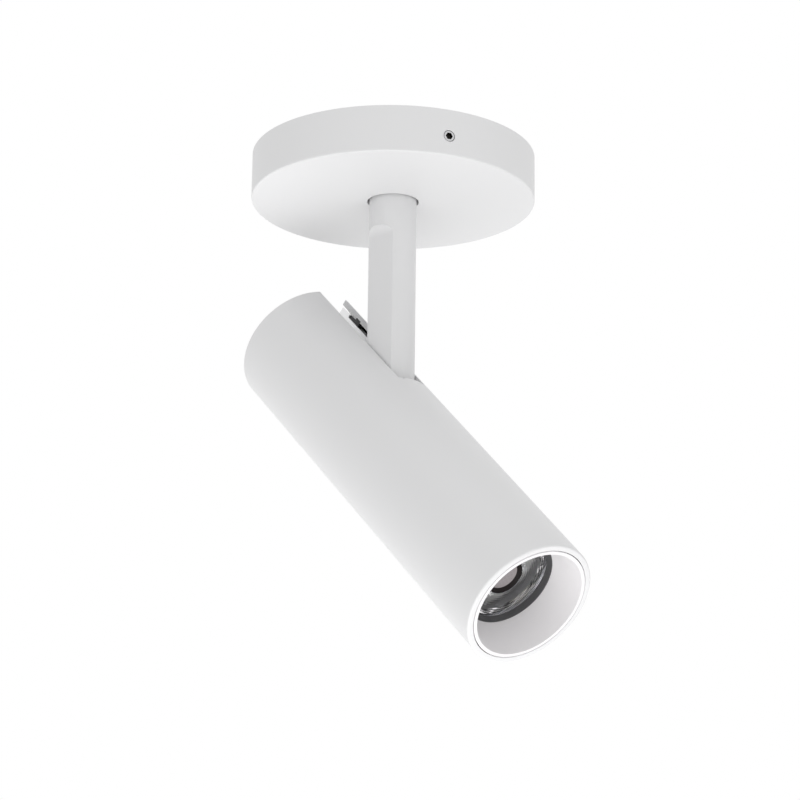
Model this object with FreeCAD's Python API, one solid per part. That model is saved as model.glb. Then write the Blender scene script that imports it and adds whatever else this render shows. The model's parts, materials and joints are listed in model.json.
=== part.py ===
"""Surface mounted ceiling spotlight: round canopy, swivelling stem, tilting tube head.

Units are millimetres.  Z points up and the origin is the centre of the face that
lies on the ceiling, so the light hangs in -Z.  The head tilts in the XZ plane and
is drawn at its rest angle of 45 degrees.  The head's own pieces are drawn in a
head frame: origin on the tilt axis, +X to the light's front, +Z to the slotted
side, with the tube's axis a fixed drop below the tilt axis.
"""
import FreeCAD, Part

import math
import os

# ---------------------------------------------------------------- canopy
canopy_radius = 60.0
canopy_height = 20.0
canopy_wall = 2.5
canopy_face = 2.0
canopy_edge_radius = 0.8
ceiling_gap = 0.2            # between the cover's rim and the ceiling
boss_radius = 19.0           # thick centre of the cover that carries the swivel
boss_height = 4.0

# ---------------------------------------------------------------- ceiling plate
plate_thickness = 1.5
plate_clearance = 0.4        # between the plate's rim and the cover's wall
plate_rim_height = 5.0
ear_width = 16.0
ear_margin = 3.2             # of ear below the set screw's axis
ceiling_screw_spacing = 76.0
ceiling_slot_width = 5.0
ceiling_slot_length = 12.0
cable_hole_radius = 6.5
cable_hole_x = -24.0
cable_hole_y = -24.0
grommet_bore_radius = 4.5
grommet_lip = 2.0
grommet_lip_thickness = 1.5

# ---------------------------------------------------------------- cover's set screws
set_screw_angles = (-22.5, 157.5)
set_screw_radius = 2.5
set_screw_depth = 11.5       # of the screw's axis below the ceiling
set_screw_recess = 0.4
set_screw_socket = 2.5       # across flats

# ---------------------------------------------------------------- swivel
spigot_radius = 7.0
spigot_flat = 6.0            # from the axis to the flat that keys the stop disc
stem_entry_clearance = 0.85  # dark ring between the stem and the cover's hole
stem_entry_depth = 2.2
bush_wall = 2.0
bush_flange_thickness = 1.0
bush_flange_width = 1.4      # of flange beyond the bush's body
thrust_washer_thickness = 1.0
thrust_washer_width = 5.7
stop_disc_thickness = 1.2
stop_disc_radius = 12.2
stop_tab_reach = 17.0
stop_tab_width = 4.0
stop_pin_radius = 1.5
stop_pin_circle = 15.0
stop_pin_socket = 2.0        # depth of the pin's hole in the boss
spring_thickness = 0.8
spring_lift = 0.6            # cone height of the disc spring
spring_width = 4.0
swivel_nut_flats = 22.0
swivel_nut_height = 5.0
thread_end = 0.6             # of thread that shows past a nut

# ---------------------------------------------------------------- stem
stem_radius = 10.0
stem_flats = 14.0            # across the two milled flats
stem_round_length = 13.0     # round part that shows under the canopy
flat_runout_radius = 4.2     # of the cutter, at the top of the flats
tilt_axis_depth = 100.0      # of the tilt axis below the ceiling
lead_bore_radius = 3.6
lead_bush_wall = 0.8
lead_bush_length = 7.0
lead_bush_lip = 1.6

# ---------------------------------------------------------------- head tube
tube_radius = 28.0
tube_wall = 2.5
tube_length = 188.8
tilt_axis_inset = 6.0        # from the bore's wall to the tilt axis, on the slotted side
rear_reach = 58.3            # from the tilt axis to the tube's rear end
slot_width = 15.2
slot_end_gap = 0.3           # stem to the slot's closed end when the head is level
rim_edge_radius = 0.9
rear_edge_radius = 0.5
rest_tilt = 45.0             # degrees from straight down

# ---------------------------------------------------------------- tilt hinge
cheek_gap = 15.0             # between the bracket's two cheeks
cheek_thickness = 2.5
cheek_low_top = 2.9          # of the long low edge above the tilt axis
cheek_ear_length = 9.0       # each side of the tilt axis
cheek_ear_ramp = 6.0
web_thickness = 2.5
knuckle_clearance = 0.5
rear_tab_recess = 1.2
rear_tab_length = 6.4
cheek_top_gap = 0.7          # between the tube's bore and the cheeks' tops
bore_clearance = 0.3         # between the tube's bore and what slides in it
flange_thickness = 3.0
flange_setback = 1.7         # slot's closed end to the bracket's flange
lead_window_radius = 4.5
hinge_screw_radius = 2.0
hinge_head_height = 1.4
hinge_slot_width = 0.8
friction_washer_radius = 6.0
running_clearance = 0.05

# ---------------------------------------------------------------- rear baffle
baffle_setback = 12.0        # from the tube's rear end
baffle_thickness = 3.5
baffle_groove_depth = 0.7
baffle_fit = 0.2
baffle_collar_gap = 0.5      # from the bracket's rear tab to the collar round the bracket
baffle_collar_wall = 3.8

# ---------------------------------------------------------------- heat sink and light engine
board_depth = 37.4           # from the front rim to the board's face
sink_base = 6.0
sink_tail_gap = 5.0          # bracket's flange to the ends of the fins
fin_thickness = 2.0
fin_pitch = 6.5
fin_count = 7
pillar_radius = 4.0
pillar_circle = 17.0
pillar_angles = (180.0, 104.0, 256.0)   # from the slotted side, about the tube's axis
m3_radius = 1.5
m3_head_radius = 2.75
m3_head_height = 2.0
m3_grip = 8.0
lock_screw_bite = 3.0        # of the lock screw in the heat sink
lock_screw_angle = 140.0     # from the slotted side, low on the +Y side
board_radius = 22.0
board_thickness = 1.6
emitter_side = 13.5
emitter_thickness = 1.0
phosphor_radius = 5.0
phosphor_thickness = 0.4
retainer_radius = 16.8
retainer_window_radius = 7.2
retainer_thickness = 2.4
retainer_screw_circle = 12.6
lead_hole_radius = 1.6
lead_hole_circle = 13.0
m2_radius = 1.0
m2_head_radius = 1.9
m2_head_height = 1.2

# ---------------------------------------------------------------- optics
snoot_depth = 15.5
snoot_rim_width = 1.4
snoot_fit = 0.15
snoot_throat_radius = 19.7
snoot_wall = 1.3
snoot_band = 8.0             # length of the snoot's cylindrical outside
o_ring_section = 0.7         # radius of the ring's section
o_ring_depth = 5.0
holder_lip = 0.9             # from the snoot's throat in to the lens's face
holder_lip_depth = 2.9       # of the black cone between the snoot and the lens
holder_thickness = 1.5
holder_skirt_wall = 1.4
holder_gap = 0.1
lens_flange_width = 0.7
lens_flange_thickness = 1.7
lens_body_radius = 18.3
lens_body_length = 5.3       # of the cylinder behind the flange
lens_back_power = 1.4        # how the back's radius grows from its tail to the cylinder
lens_back_steps = 12
lens_tail_radius = 12.3
lens_depth = 14.1            # from its face to its tail
lens_recess_radius = 8.0
lens_recess_floor = 6.4      # radius of the recess at its bottom
lens_recess_depth = 1.4
lens_spacer_wall = 0.85
lens_cup_radius = 4.4
lens_cup_depth = 5.0
lens_cup_draft = 0.8         # radius at the cup's end over the radius at its mouth
lens_fit = 0.15

# ---------------------------------------------------------------- driver and terminals
driver_margin = 1.4          # from the driver's corners to the plate's rim
driver_width = 24.0
driver_height = 13.8
driver_gap = 0.8             # to the cover's boss
driver_wall = 1.3
driver_ear = 6.0
driver_ear_width = 8.0
driver_ear_thickness = 2.0
driver_board_clearance = 0.6
driver_board_thickness = 1.6
terminal_length = 26.0
terminal_width = 16.0
terminal_height = 11.0
terminal_x = 8.0
terminal_gap = 4.0           # to the cover's boss
terminal_poles = 2
terminal_wire_radius = 2.0
terminal_screw_radius = 1.6
earth_x = 30.0
earth_y = -16.0
earth_screw_radius = 2.0
earth_head_radius = 3.6
earth_head_height = 2.4
earth_washer_radius = 4.5
earth_washer_thickness = 0.8

# ---------------------------------------------------------------- derived levels
cover_bottom = -(ceiling_gap + canopy_height)
cover_floor = cover_bottom + canopy_face
boss_top = cover_floor + boss_height
plate_radius = canopy_radius - canopy_wall - plate_clearance
plate_underside = -plate_thickness
stem_shoulder = cover_bottom + stem_entry_depth - running_clearance
bush_seat = cover_bottom + stem_entry_depth + bush_flange_thickness
bush_radius = spigot_radius + running_clearance + bush_wall
stop_disc_bottom = boss_top + thrust_washer_thickness + running_clearance
spring_bottom = stop_disc_bottom + stop_disc_thickness
nut_bottom = spring_bottom + spring_lift + spring_thickness
spigot_top = nut_bottom + swivel_nut_height + thread_end
flats_top = cover_bottom - stem_round_length
driver_offset = boss_radius + driver_gap + driver_width / 2.0
driver_side = driver_offset + driver_width / 2.0
driver_reach = plate_radius - plate_thickness - driver_margin
driver_length = 2.0 * math.sqrt(driver_reach ** 2 - driver_side ** 2)
terminal_y = -(boss_radius + terminal_gap + terminal_width / 2.0)
half_flats = stem_flats / 2.0
bore_radius = tube_radius - tube_wall
tube_drop = bore_radius - tilt_axis_inset    # from the tilt axis to the tube's axis
slide_radius = bore_radius - bore_clearance
half_slot = slot_width / 2.0
half_gap = cheek_gap / 2.0
cheek_face = half_gap + cheek_thickness
hinge_head_room = math.sqrt(slide_radius ** 2 - (cheek_face + hinge_head_height) ** 2)
hinge_head_radius = hinge_head_room - tube_drop
rear_end = -rear_reach
front_rim = tube_length - rear_reach
slot_end = stem_radius + slot_end_gap
web_top = -(stem_radius + knuckle_clearance)
web_bottom = web_top - web_thickness
flange_rear = slot_end + flange_setback
flange_front = flange_rear + flange_thickness
board_front = front_rim - board_depth
sink_front = board_front - board_thickness
throat = front_rim - snoot_depth
holder_front = throat - holder_gap
lens_face = holder_front - holder_lip_depth
lens_window_radius = snoot_throat_radius - holder_lip
skirt_bore = lens_window_radius + lens_flange_width
spacer_radius = skirt_bore - lens_fit
flange_back = lens_face - lens_flange_thickness
baffle_rear = rear_end + baffle_setback
baffle_front = baffle_rear + baffle_thickness

UP = FreeCAD.Vector(0, 0, 1)
AHEAD = FreeCAD.Vector(1, 0, 0)
ACROSS = FreeCAD.Vector(0, 1, 0)


# ---------------------------------------------------------------- helpers
def vec(x, y, z):
    return FreeCAD.Vector(x, y, z)


def rod(radius, length, base, axis=UP):
    return Part.makeCylinder(radius, length, base, axis)


def ring(outer, inner, length, base, axis=UP):
    return rod(outer, length, base, axis).cut(rod(inner, length, base, axis))


def block(x0, x1, y0, y1, z0, z1):
    return Part.makeBox(x1 - x0, y1 - y0, z1 - z0, vec(x0, y0, z0))


def prism(outline, direction):
    """Solid from a closed flat outline of points, pushed along a direction."""
    face = Part.Face(Part.makePolygon(outline + [outline[0]]))
    return face.extrude(direction)


def hex_prism(flats, length, base, axis=UP):
    """Hexagonal prism whose first corner points along X before it is stood on its axis."""
    corner = flats / math.sqrt(3.0)
    outline = []
    for step in range(6):
        angle = math.radians(60.0 * step)
        outline.append(vec(corner * math.cos(angle), corner * math.sin(angle), 0))
    solid = prism(outline, vec(0, 0, length))
    turn = FreeCAD.Rotation(UP, axis)
    solid.Placement = FreeCAD.Placement(base, turn)
    return solid


def turned(outline, base=None, axis=UP):
    """Solid of revolution about Z from (radius, height) points."""
    points = [vec(radius, 0, height) for radius, height in outline]
    face = Part.Face(Part.makePolygon(points + [points[0]]))
    return face.revolve(vec(0, 0, 0), UP, 360.0)


def head_turned(outline):
    """Solid of revolution about the tube's axis from (x, radius) points in the head frame."""
    centre = vec(0, 0, -tube_drop)
    points = [vec(x, 0, radius - tube_drop) for x, radius in outline]
    face = Part.Face(Part.makePolygon(points + [points[0]]))
    return face.revolve(centre, AHEAD, 360.0)


def tube_rod(radius, x0, x1):
    """Cylinder on the tube's axis, in the head frame."""
    return rod(radius, x1 - x0, vec(x0, 0, -tube_drop), AHEAD)


def around_tube(radius, degrees, x=0.0):
    """Point round the tube's axis, measured from the slotted side towards +Y."""
    angle = math.radians(degrees)
    return vec(x, radius * math.sin(angle), radius * math.cos(angle) - tube_drop)


def place_head(shape):
    """Move a shape from the head frame to its place at the rest angle."""
    turn = FreeCAD.Rotation(ACROSS, 90.0 - rest_tilt)
    placed = shape.copy()
    placed.Placement = FreeCAD.Placement(vec(0, 0, -tilt_axis_depth), turn).multiply(shape.Placement)
    return placed


def group(solids):
    return Part.makeCompound(solids)


def round_edges(solid, radius, wanted):
    """Fillet the edges that the test picks out."""
    edges = [edge for edge in solid.Edges if wanted(edge)]
    return solid.makeFillet(radius, edges)


def full_circle_at(radius, height):
    """Test for a circular edge of a given radius about Z at a given height."""
    def wanted(edge):
        if not isinstance(edge.Curve, Part.Circle):
            return False
        centre = edge.Curve.Center
        on_axis = abs(centre.x) < 0.01 and abs(centre.y) < 0.01
        return on_axis and abs(centre.z - height) < 0.01 and abs(edge.Curve.Radius - radius) < 0.01
    return wanted


def on_tube_end(radius, x):
    """Test for an arc of a given radius about the tube's axis at a given station."""
    def wanted(edge):
        if not isinstance(edge.Curve, Part.Circle):
            return False
        centre = edge.Curve.Center
        return abs(centre.x - x) < 0.01 and abs(edge.Curve.Radius - radius) < 0.01
    return wanted


def machine_screw(radius, length, head_radius, head_height, base, axis):
    """Pan head screw: the head starts at base and the shank runs on along the axis."""
    direction = FreeCAD.Vector(axis)
    direction.normalize()
    head = rod(head_radius, head_height, base, direction)
    shank = rod(radius, length, base + direction * head_height, direction)
    socket = hex_prism(radius * 1.6, head_height * 0.6, base, direction)
    return head.fuse(shank).cut(socket).removeSplitter()


# ---------------------------------------------------------------- canopy pieces
def radial(degrees):
    angle = math.radians(degrees)
    return vec(math.cos(angle), math.sin(angle), 0)


def set_screw_start():
    """Distance from the canopy's axis to the screw's inner end, on the plate's ear."""
    return plate_radius


def make_canopy_cover():
    inner = canopy_radius - canopy_wall
    entry = stem_radius + stem_entry_clearance
    cover = turned([
        (entry, cover_bottom), (canopy_radius, cover_bottom), (canopy_radius, -ceiling_gap),
        (inner, -ceiling_gap), (inner, cover_floor), (boss_radius, cover_floor),
        (boss_radius, boss_top), (bush_radius, boss_top), (bush_radius, bush_seat),
        (entry, bush_seat)])
    cover = round_edges(cover, canopy_edge_radius, full_circle_at(canopy_radius, cover_bottom))
    for degrees in set_screw_angles:
        start = radial(degrees) * (inner - 1.0) + vec(0, 0, -set_screw_depth)
        cover = cover.cut(rod(set_screw_radius, canopy_wall + 2.0, start, radial(degrees)))
    pin_hole = rod(stop_pin_radius, stop_pin_socket, vec(-stop_pin_circle, 0, boss_top - stop_pin_socket))
    return cover.cut(pin_hole)


def make_ceiling_plate():
    rim_inner = plate_radius - plate_thickness
    disc = rod(plate_radius, plate_thickness, vec(0, 0, plate_underside))
    ear_bottom = -(set_screw_depth + ear_margin)
    wall = ring(plate_radius, rim_inner, -ear_bottom, vec(0, 0, ear_bottom))
    rim = ring(plate_radius, rim_inner, plate_rim_height, vec(0, 0, -plate_rim_height))
    plate = disc.fuse(rim)
    for degrees in set_screw_angles:
        slice_box = block(0, canopy_radius, -ear_width / 2, ear_width / 2, ear_bottom, 0)
        slice_box.rotate(vec(0, 0, 0), UP, degrees)
        plate = plate.fuse(wall.common(slice_box))
    plate = plate.removeSplitter()
    for side in (-1, 1):
        plate = plate.cut(ceiling_slot(side * ceiling_screw_spacing / 2))
    cable_hole = vec(cable_hole_x, cable_hole_y, plate_underside)
    plate = plate.cut(rod(cable_hole_radius, plate_thickness, cable_hole))
    for centre in driver_screw_places():
        plate = plate.cut(rod(m3_radius, plate_thickness, centre + vec(0, 0, plate_underside)))
    fixing = vec(terminal_x, terminal_y, plate_underside)
    plate = plate.cut(rod(terminal_screw_radius, plate_thickness, fixing))
    return plate.cut(rod(earth_screw_radius, plate_thickness, vec(earth_x, earth_y, plate_underside)))


def ceiling_slot(x):
    """Cutter for one ceiling screw's slot, long in X."""
    half = (ceiling_slot_length - ceiling_slot_width) / 2
    radius = ceiling_slot_width / 2
    middle = block(x - half, x + half, -radius, radius, plate_underside, 0)
    ends = [rod(radius, plate_thickness, vec(x + end, 0, plate_underside)) for end in (-half, half)]
    return middle.fuse(ends)


def make_cable_grommet():
    centre = vec(cable_hole_x, cable_hole_y, 0)
    body = rod(cable_hole_radius, plate_thickness, centre + vec(0, 0, plate_underside))
    lip_bottom = plate_underside - grommet_lip_thickness
    lip = rod(cable_hole_radius + grommet_lip, grommet_lip_thickness, centre + vec(0, 0, lip_bottom))
    length = plate_thickness + grommet_lip_thickness
    bore = rod(grommet_bore_radius, length, centre + vec(0, 0, lip_bottom))
    return body.fuse(lip).removeSplitter().cut(bore)


def make_cover_set_screws():
    screws = []
    length = canopy_radius - set_screw_recess - set_screw_start()
    for degrees in set_screw_angles:
        outward = radial(degrees)
        start = outward * set_screw_start() + vec(0, 0, -set_screw_depth)
        screw = rod(set_screw_radius, length, start, outward)
        socket_depth = length * 0.6
        socket_base = outward * (canopy_radius - set_screw_recess - socket_depth)
        socket_base = socket_base + vec(0, 0, -set_screw_depth)
        screws.append(screw.cut(hex_prism(set_screw_socket, socket_depth, socket_base, outward)))
    return group(screws)


# ---------------------------------------------------------------- swivel pieces
def make_swivel_bush():
    bore = spigot_radius + running_clearance
    flange = bush_radius + bush_flange_width
    flange_bottom = bush_seat - bush_flange_thickness
    return turned([
        (bore, flange_bottom), (flange, flange_bottom), (flange, bush_seat),
        (bush_radius, bush_seat), (bush_radius, boss_top), (bore, boss_top)])


def make_thrust_washer():
    bore = spigot_radius + running_clearance
    return ring(bore + thrust_washer_width, bore, thrust_washer_thickness, vec(0, 0, boss_top))


def make_pan_stop_pin():
    bottom = boss_top - stop_pin_socket
    top = spring_bottom
    return rod(stop_pin_radius, top - bottom, vec(-stop_pin_circle, 0, bottom))


def spigot_cutter(bottom, height):
    """The keyed spigot's outline as a solid, for the stem and for what it passes through."""
    full = rod(spigot_radius, height, vec(0, 0, bottom))
    keep = block(-spigot_flat, spigot_radius, -spigot_radius, spigot_radius, bottom, bottom + height)
    return full.common(keep)


def make_stop_disc():
    disc = rod(stop_disc_radius, stop_disc_thickness, vec(0, 0, stop_disc_bottom))
    tab = block(0, stop_tab_reach, -stop_tab_width / 2, stop_tab_width / 2, stop_disc_bottom, spring_bottom)
    disc = disc.fuse(tab).removeSplitter()
    return disc.cut(spigot_cutter(stop_disc_bottom, stop_disc_thickness))


def make_swivel_spring():
    inner = spigot_radius
    outer = spigot_radius + spring_width
    return turned([
        (outer, spring_bottom), (outer, spring_bottom + spring_thickness),
        (inner, nut_bottom), (inner, nut_bottom - spring_thickness)])


def make_swivel_nut():
    nut = hex_prism(swivel_nut_flats, swivel_nut_height, vec(0, 0, nut_bottom))
    return nut.cut(spigot_cutter(nut_bottom, swivel_nut_height))


# ---------------------------------------------------------------- stem
def flat_cutter(side):
    """Milled flat on one side of the stem, with the cutter's round run-out at its top."""
    reach = stem_radius + 1.0
    bottom = -(tilt_axis_depth + stem_radius)
    turn = math.acos(1.0 - (reach - half_flats) / flat_runout_radius)
    start = flats_top - flat_runout_height()
    points = []
    for angle in (0.0, turn / 2, turn):
        outward = half_flats + flat_runout_radius * (1.0 - math.cos(angle))
        points.append(vec(-reach, side * outward, start + flat_runout_radius * math.sin(angle)))
    corners = [
        points[2], vec(-reach, side * reach, bottom), vec(-reach, side * half_flats, bottom), points[0]]
    edges = [Part.Arc(*points).toShape()]
    edges += [Part.makeLine(a, b) for a, b in zip(corners, corners[1:])]
    return Part.Face(Part.Wire(Part.__sortEdges__(edges))).extrude(vec(2 * reach, 0, 0))


def flat_runout_height():
    """Height that the run-out takes to rise from the flat to the stem's round surface."""
    turn = math.acos(1.0 - (stem_radius - half_flats) / flat_runout_radius)
    return flat_runout_radius * math.sin(turn)


def make_stem():
    knuckle_base = vec(0, -stem_radius, -tilt_axis_depth)
    knuckle = rod(stem_radius, 2 * stem_radius, knuckle_base, ACROSS)
    end = rod(stem_radius, 2 * stem_radius, vec(0, 0, -tilt_axis_depth - stem_radius)).common(knuckle)
    shaft = rod(stem_radius, stem_shoulder + tilt_axis_depth, vec(0, 0, -tilt_axis_depth))
    key_bottom = boss_top + thrust_washer_thickness
    plain = rod(spigot_radius, key_bottom - stem_shoulder, vec(0, 0, stem_shoulder))
    keyed = spigot_cutter(key_bottom, spigot_top - key_bottom)
    stem = shaft.fuse([end, plain, keyed]).removeSplitter()
    for side in (-1, 1):
        stem = stem.cut(flat_cutter(side))
    bottom = -(tilt_axis_depth + stem_radius)
    stem = stem.cut(rod(lead_bore_radius, spigot_top - bottom, vec(0, 0, bottom)))
    hole = hinge_screw_radius + running_clearance
    return stem.cut(rod(hole, stem_flats, vec(0, -half_flats, -tilt_axis_depth), ACROSS))


def make_lead_bush():
    """Plastic sleeve that keeps the leads off the edge of the stem's bore."""
    bore = lead_bore_radius - lead_bush_wall
    bottom = spigot_top - lead_bush_length
    top = spigot_top + lead_bush_wall
    lip = lead_bore_radius + lead_bush_lip
    return turned([
        (bore, bottom), (lead_bore_radius, bottom), (lead_bore_radius, spigot_top),
        (lip, spigot_top), (lip, top), (bore, top)])


# ---------------------------------------------------------------- driver and terminals
def driver_screw_places():
    reach = driver_length / 2 + driver_ear / 2
    return [vec(-reach, driver_offset, 0), vec(reach, driver_offset, 0)]


def driver_box(inset, bottom, top):
    """Block on the driver's centre line, drawn in from its sides."""
    half_length = driver_length / 2 - inset
    half_width = driver_width / 2 - inset
    near = driver_offset - half_width
    far = driver_offset + half_width
    return block(-half_length, half_length, near, far, bottom, top)


def make_driver_case():
    bottom = plate_underside - driver_height + driver_wall
    case = driver_box(0, bottom, plate_underside)
    case = case.cut(driver_box(driver_wall, bottom, plate_underside - driver_wall))
    reach = driver_length / 2 + driver_ear
    half = driver_ear_width / 2
    ear_bottom = plate_underside - driver_ear_thickness
    for side in (-1, 1):
        near, far = sorted((side * driver_length / 2, side * reach))
        ear = block(near, far, driver_offset - half, driver_offset + half, ear_bottom, plate_underside)
        case = case.fuse(ear)
    case = case.removeSplitter()
    for centre in driver_screw_places():
        case = case.cut(rod(m3_radius, driver_ear_thickness, centre + vec(0, 0, ear_bottom)))
    return case


def make_driver_lid():
    bottom = plate_underside - driver_height
    return driver_box(0, bottom, bottom + driver_wall)


def make_driver_board():
    """Circuit board with its transformer, capacitor and coil standing on it."""
    inset = driver_wall + driver_board_clearance
    level = plate_underside - driver_wall - driver_board_clearance - driver_board_thickness
    board = driver_box(inset, level, level + driver_board_thickness)
    depth = driver_height - 2 * driver_wall - 2 * driver_board_clearance - driver_board_thickness
    low = level - depth
    third = driver_length / 3.2
    core = driver_width / 3.2
    transformer = block(-core, core, driver_offset - core, driver_offset + core, low, level)
    capacitor = rod(depth / 2.2, depth, vec(-third, driver_offset, low))
    coil = ring(depth / 2.0, depth / 5.0, depth * 0.8, vec(third, driver_offset, level - depth * 0.8))
    return board.fuse([transformer, capacitor, coil]).removeSplitter()


def make_driver_screws():
    screws = []
    head_bottom = plate_underside - driver_ear_thickness - m3_head_height
    length = driver_ear_thickness + plate_thickness
    for centre in driver_screw_places():
        base = centre + vec(0, 0, head_bottom)
        screws.append(machine_screw(m3_radius, length, m3_head_radius, m3_head_height, base, UP))
    return group(screws)


def terminal_pole_places():
    pitch = terminal_length / terminal_poles
    first = terminal_x - terminal_length / 2 + pitch / 2
    return [first + pitch * pole for pole in range(terminal_poles)]


def make_terminal_block():
    bottom = plate_underside - terminal_height
    x0 = terminal_x - terminal_length / 2
    y0 = terminal_y - terminal_width / 2
    body = block(x0, x0 + terminal_length, y0, y0 + terminal_width, bottom, plate_underside)
    wire_level = plate_underside - terminal_height / 2
    for x in terminal_pole_places():
        body = body.cut(rod(terminal_wire_radius, terminal_width, vec(x, y0, wire_level), ACROSS))
        for y in terminal_screw_rows():
            body = body.cut(rod(terminal_screw_radius, wire_level - bottom, vec(x, y, bottom)))
    return body.cut(terminal_fixing_hole())


def terminal_fixing_hole():
    """Clear way for the fixing screw, between the two wire ways."""
    bottom = plate_underside - terminal_height
    return rod(terminal_screw_radius, terminal_height, vec(terminal_x, terminal_y, bottom))


def terminal_screw_rows():
    reach = terminal_width / 3.2
    return (terminal_y - reach, terminal_y + reach)


def make_terminal_screws():
    """Clamping screws: one at each end of each wire way."""
    bottom = plate_underside - terminal_height
    wire_top = plate_underside - terminal_height / 2 - terminal_wire_radius
    screws = []
    for x in terminal_pole_places():
        for y in terminal_screw_rows():
            screw = rod(terminal_screw_radius, wire_top - bottom, vec(x, y, bottom))
            half = hinge_slot_width / 2
            slot = block(x - 2 * terminal_screw_radius, x + 2 * terminal_screw_radius,
                         y - half, y + half, bottom, bottom + hinge_slot_width)
            screws.append(screw.cut(slot))
    return group(screws)


def make_terminal_fixing_screw():
    """Plain countersunk screw that holds the terminal block to the plate."""
    bottom = plate_underside - terminal_height
    length = terminal_height + plate_thickness
    screw = rod(terminal_screw_radius, length, vec(terminal_x, terminal_y, bottom))
    half = hinge_slot_width / 2
    slot = block(terminal_x - half, terminal_x + half, terminal_y - terminal_screw_radius,
                 terminal_y + terminal_screw_radius, bottom, bottom + hinge_slot_width)
    return screw.cut(slot)


def make_earth_screw():
    head_bottom = plate_underside - earth_washer_thickness - earth_head_height
    length = earth_washer_thickness + plate_thickness
    base = vec(earth_x, earth_y, head_bottom)
    return machine_screw(earth_screw_radius, length, earth_head_radius, earth_head_height, base, UP)


def make_earth_washer():
    base = vec(earth_x, earth_y, plate_underside - earth_washer_thickness)
    return ring(earth_washer_radius, earth_screw_radius, earth_washer_thickness, base)


# ---------------------------------------------------------------- head tube
def make_head_tube():
    tube = tube_rod(tube_radius, rear_end, front_rim)
    tube = round_edges(tube, rim_edge_radius, on_tube_end(tube_radius, front_rim))
    tube = round_edges(tube, rear_edge_radius, on_tube_end(tube_radius, rear_end))
    tube = tube.cut(tube_rod(bore_radius, rear_end, front_rim))
    groove = tube_rod(bore_radius + baffle_groove_depth, baffle_rear, baffle_front)
    tube = tube.cut(groove)
    tube = tube.cut(block(rear_end, slot_end, -half_slot, half_slot, -tube_drop, tube_radius))
    return tube.cut(lock_screw_rod(0))


def lock_screw_rod(sink):
    """The head's lock screw as a plain rod, from the heat sink's base to the tube's skin."""
    centre = vec(sink_front - sink_base / 2, 0, -tube_drop)
    outward = around_tube(1.0, lock_screw_angle) + vec(0, 0, tube_drop)
    inner = slide_radius - lock_screw_bite
    return rod(m3_radius, tube_radius - sink - inner, centre + outward * inner, outward)


def make_head_lock_screw():
    screw = lock_screw_rod(tube_wall / 4)
    centre = vec(sink_front - sink_base / 2, 0, -tube_drop)
    outward = around_tube(1.0, lock_screw_angle) + vec(0, 0, tube_drop)
    socket_base = centre + outward * bore_radius
    return screw.cut(hex_prism(m3_radius, tube_wall, socket_base, outward))


# ---------------------------------------------------------------- tilt hinge
def cheek_outline():
    """Side view of a cheek in the head frame, from its rear tab round to the flange."""
    tab_rear = rear_end + rear_tab_recess
    tab_front = tab_rear + rear_tab_length
    high = tube_radius
    return [
        vec(tab_rear, 0, web_bottom), vec(tab_rear, 0, high), vec(tab_front, 0, high),
        vec(tab_front, 0, cheek_low_top), vec(-cheek_ear_length - cheek_ear_ramp, 0, cheek_low_top),
        vec(-cheek_ear_length, 0, high), vec(flange_front, 0, high), vec(flange_front, 0, web_bottom)]


def make_hinge_bracket():
    tab_rear = rear_end + rear_tab_recess
    body = prism(cheek_outline(), vec(0, 2 * cheek_face, 0))
    body.translate(vec(0, -cheek_face, 0))
    channel = block(rear_end, flange_rear, -half_gap, half_gap, web_top, 2 * tube_radius)
    body = body.cut(channel).common(tube_rod(bore_radius - cheek_top_gap, tab_rear, flange_front))
    flange = tube_rod(slide_radius, flange_rear, flange_front)
    bracket = body.fuse(flange).removeSplitter()
    window_centre = vec(flange_rear, 0, web_top + lead_window_radius + 1)
    window = rod(lead_window_radius, flange_thickness, window_centre, AHEAD)
    bracket = bracket.cut(window)
    for degrees in pillar_angles:
        hole_centre = around_tube(pillar_circle, degrees, flange_rear)
        bracket = bracket.cut(rod(m3_radius, flange_thickness, hole_centre, AHEAD))
    return bracket.cut(rod(hinge_screw_radius, 2 * cheek_face, vec(0, -cheek_face, 0), ACROSS))


def make_hinge_screw():
    shank = rod(hinge_screw_radius, 2 * cheek_face, vec(0, -cheek_face, 0), ACROSS)
    head = rod(hinge_head_radius, hinge_head_height, vec(0, -cheek_face - hinge_head_height, 0), ACROSS)
    half = hinge_slot_width / 2
    slot = block(-hinge_head_radius, hinge_head_radius, -cheek_face - hinge_head_height,
                 -cheek_face - hinge_head_height / 2, -half, half)
    return shank.fuse(head).cut(slot)


def make_friction_washers():
    thickness = half_gap - half_flats - running_clearance
    washers = []
    for start in (-half_gap, half_gap - thickness):
        washers.append(ring(friction_washer_radius, hinge_screw_radius, thickness, vec(0, start, 0), ACROSS))
    return group(washers)


def make_bracket_screws():
    screws = []
    for degrees in pillar_angles:
        base = around_tube(pillar_circle, degrees, flange_rear - m3_head_height)
        length = flange_thickness + m3_grip
        screws.append(machine_screw(m3_radius, length, m3_head_radius, m3_head_height, base, AHEAD))
    return group(screws)


def make_rear_baffle():
    side = cheek_face + baffle_fit
    low = web_bottom - baffle_fit
    collar_rear = rear_end + rear_tab_recess + rear_tab_length + baffle_collar_gap
    collar_side = side + baffle_collar_wall
    disc = tube_rod(bore_radius + baffle_groove_depth, baffle_rear, baffle_front)
    collar = block(collar_rear, baffle_rear, -collar_side, collar_side, low - baffle_collar_wall, tube_radius)
    collar = collar.common(tube_rod(slide_radius, collar_rear, baffle_rear))
    baffle = disc.fuse(collar).removeSplitter()
    passage = block(collar_rear, baffle_front, -side, side, low, cheek_low_top + baffle_fit)
    slot = block(collar_rear, baffle_front, -half_slot, half_slot, low, 2 * tube_radius)
    return baffle.cut(passage).cut(slot)


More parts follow.
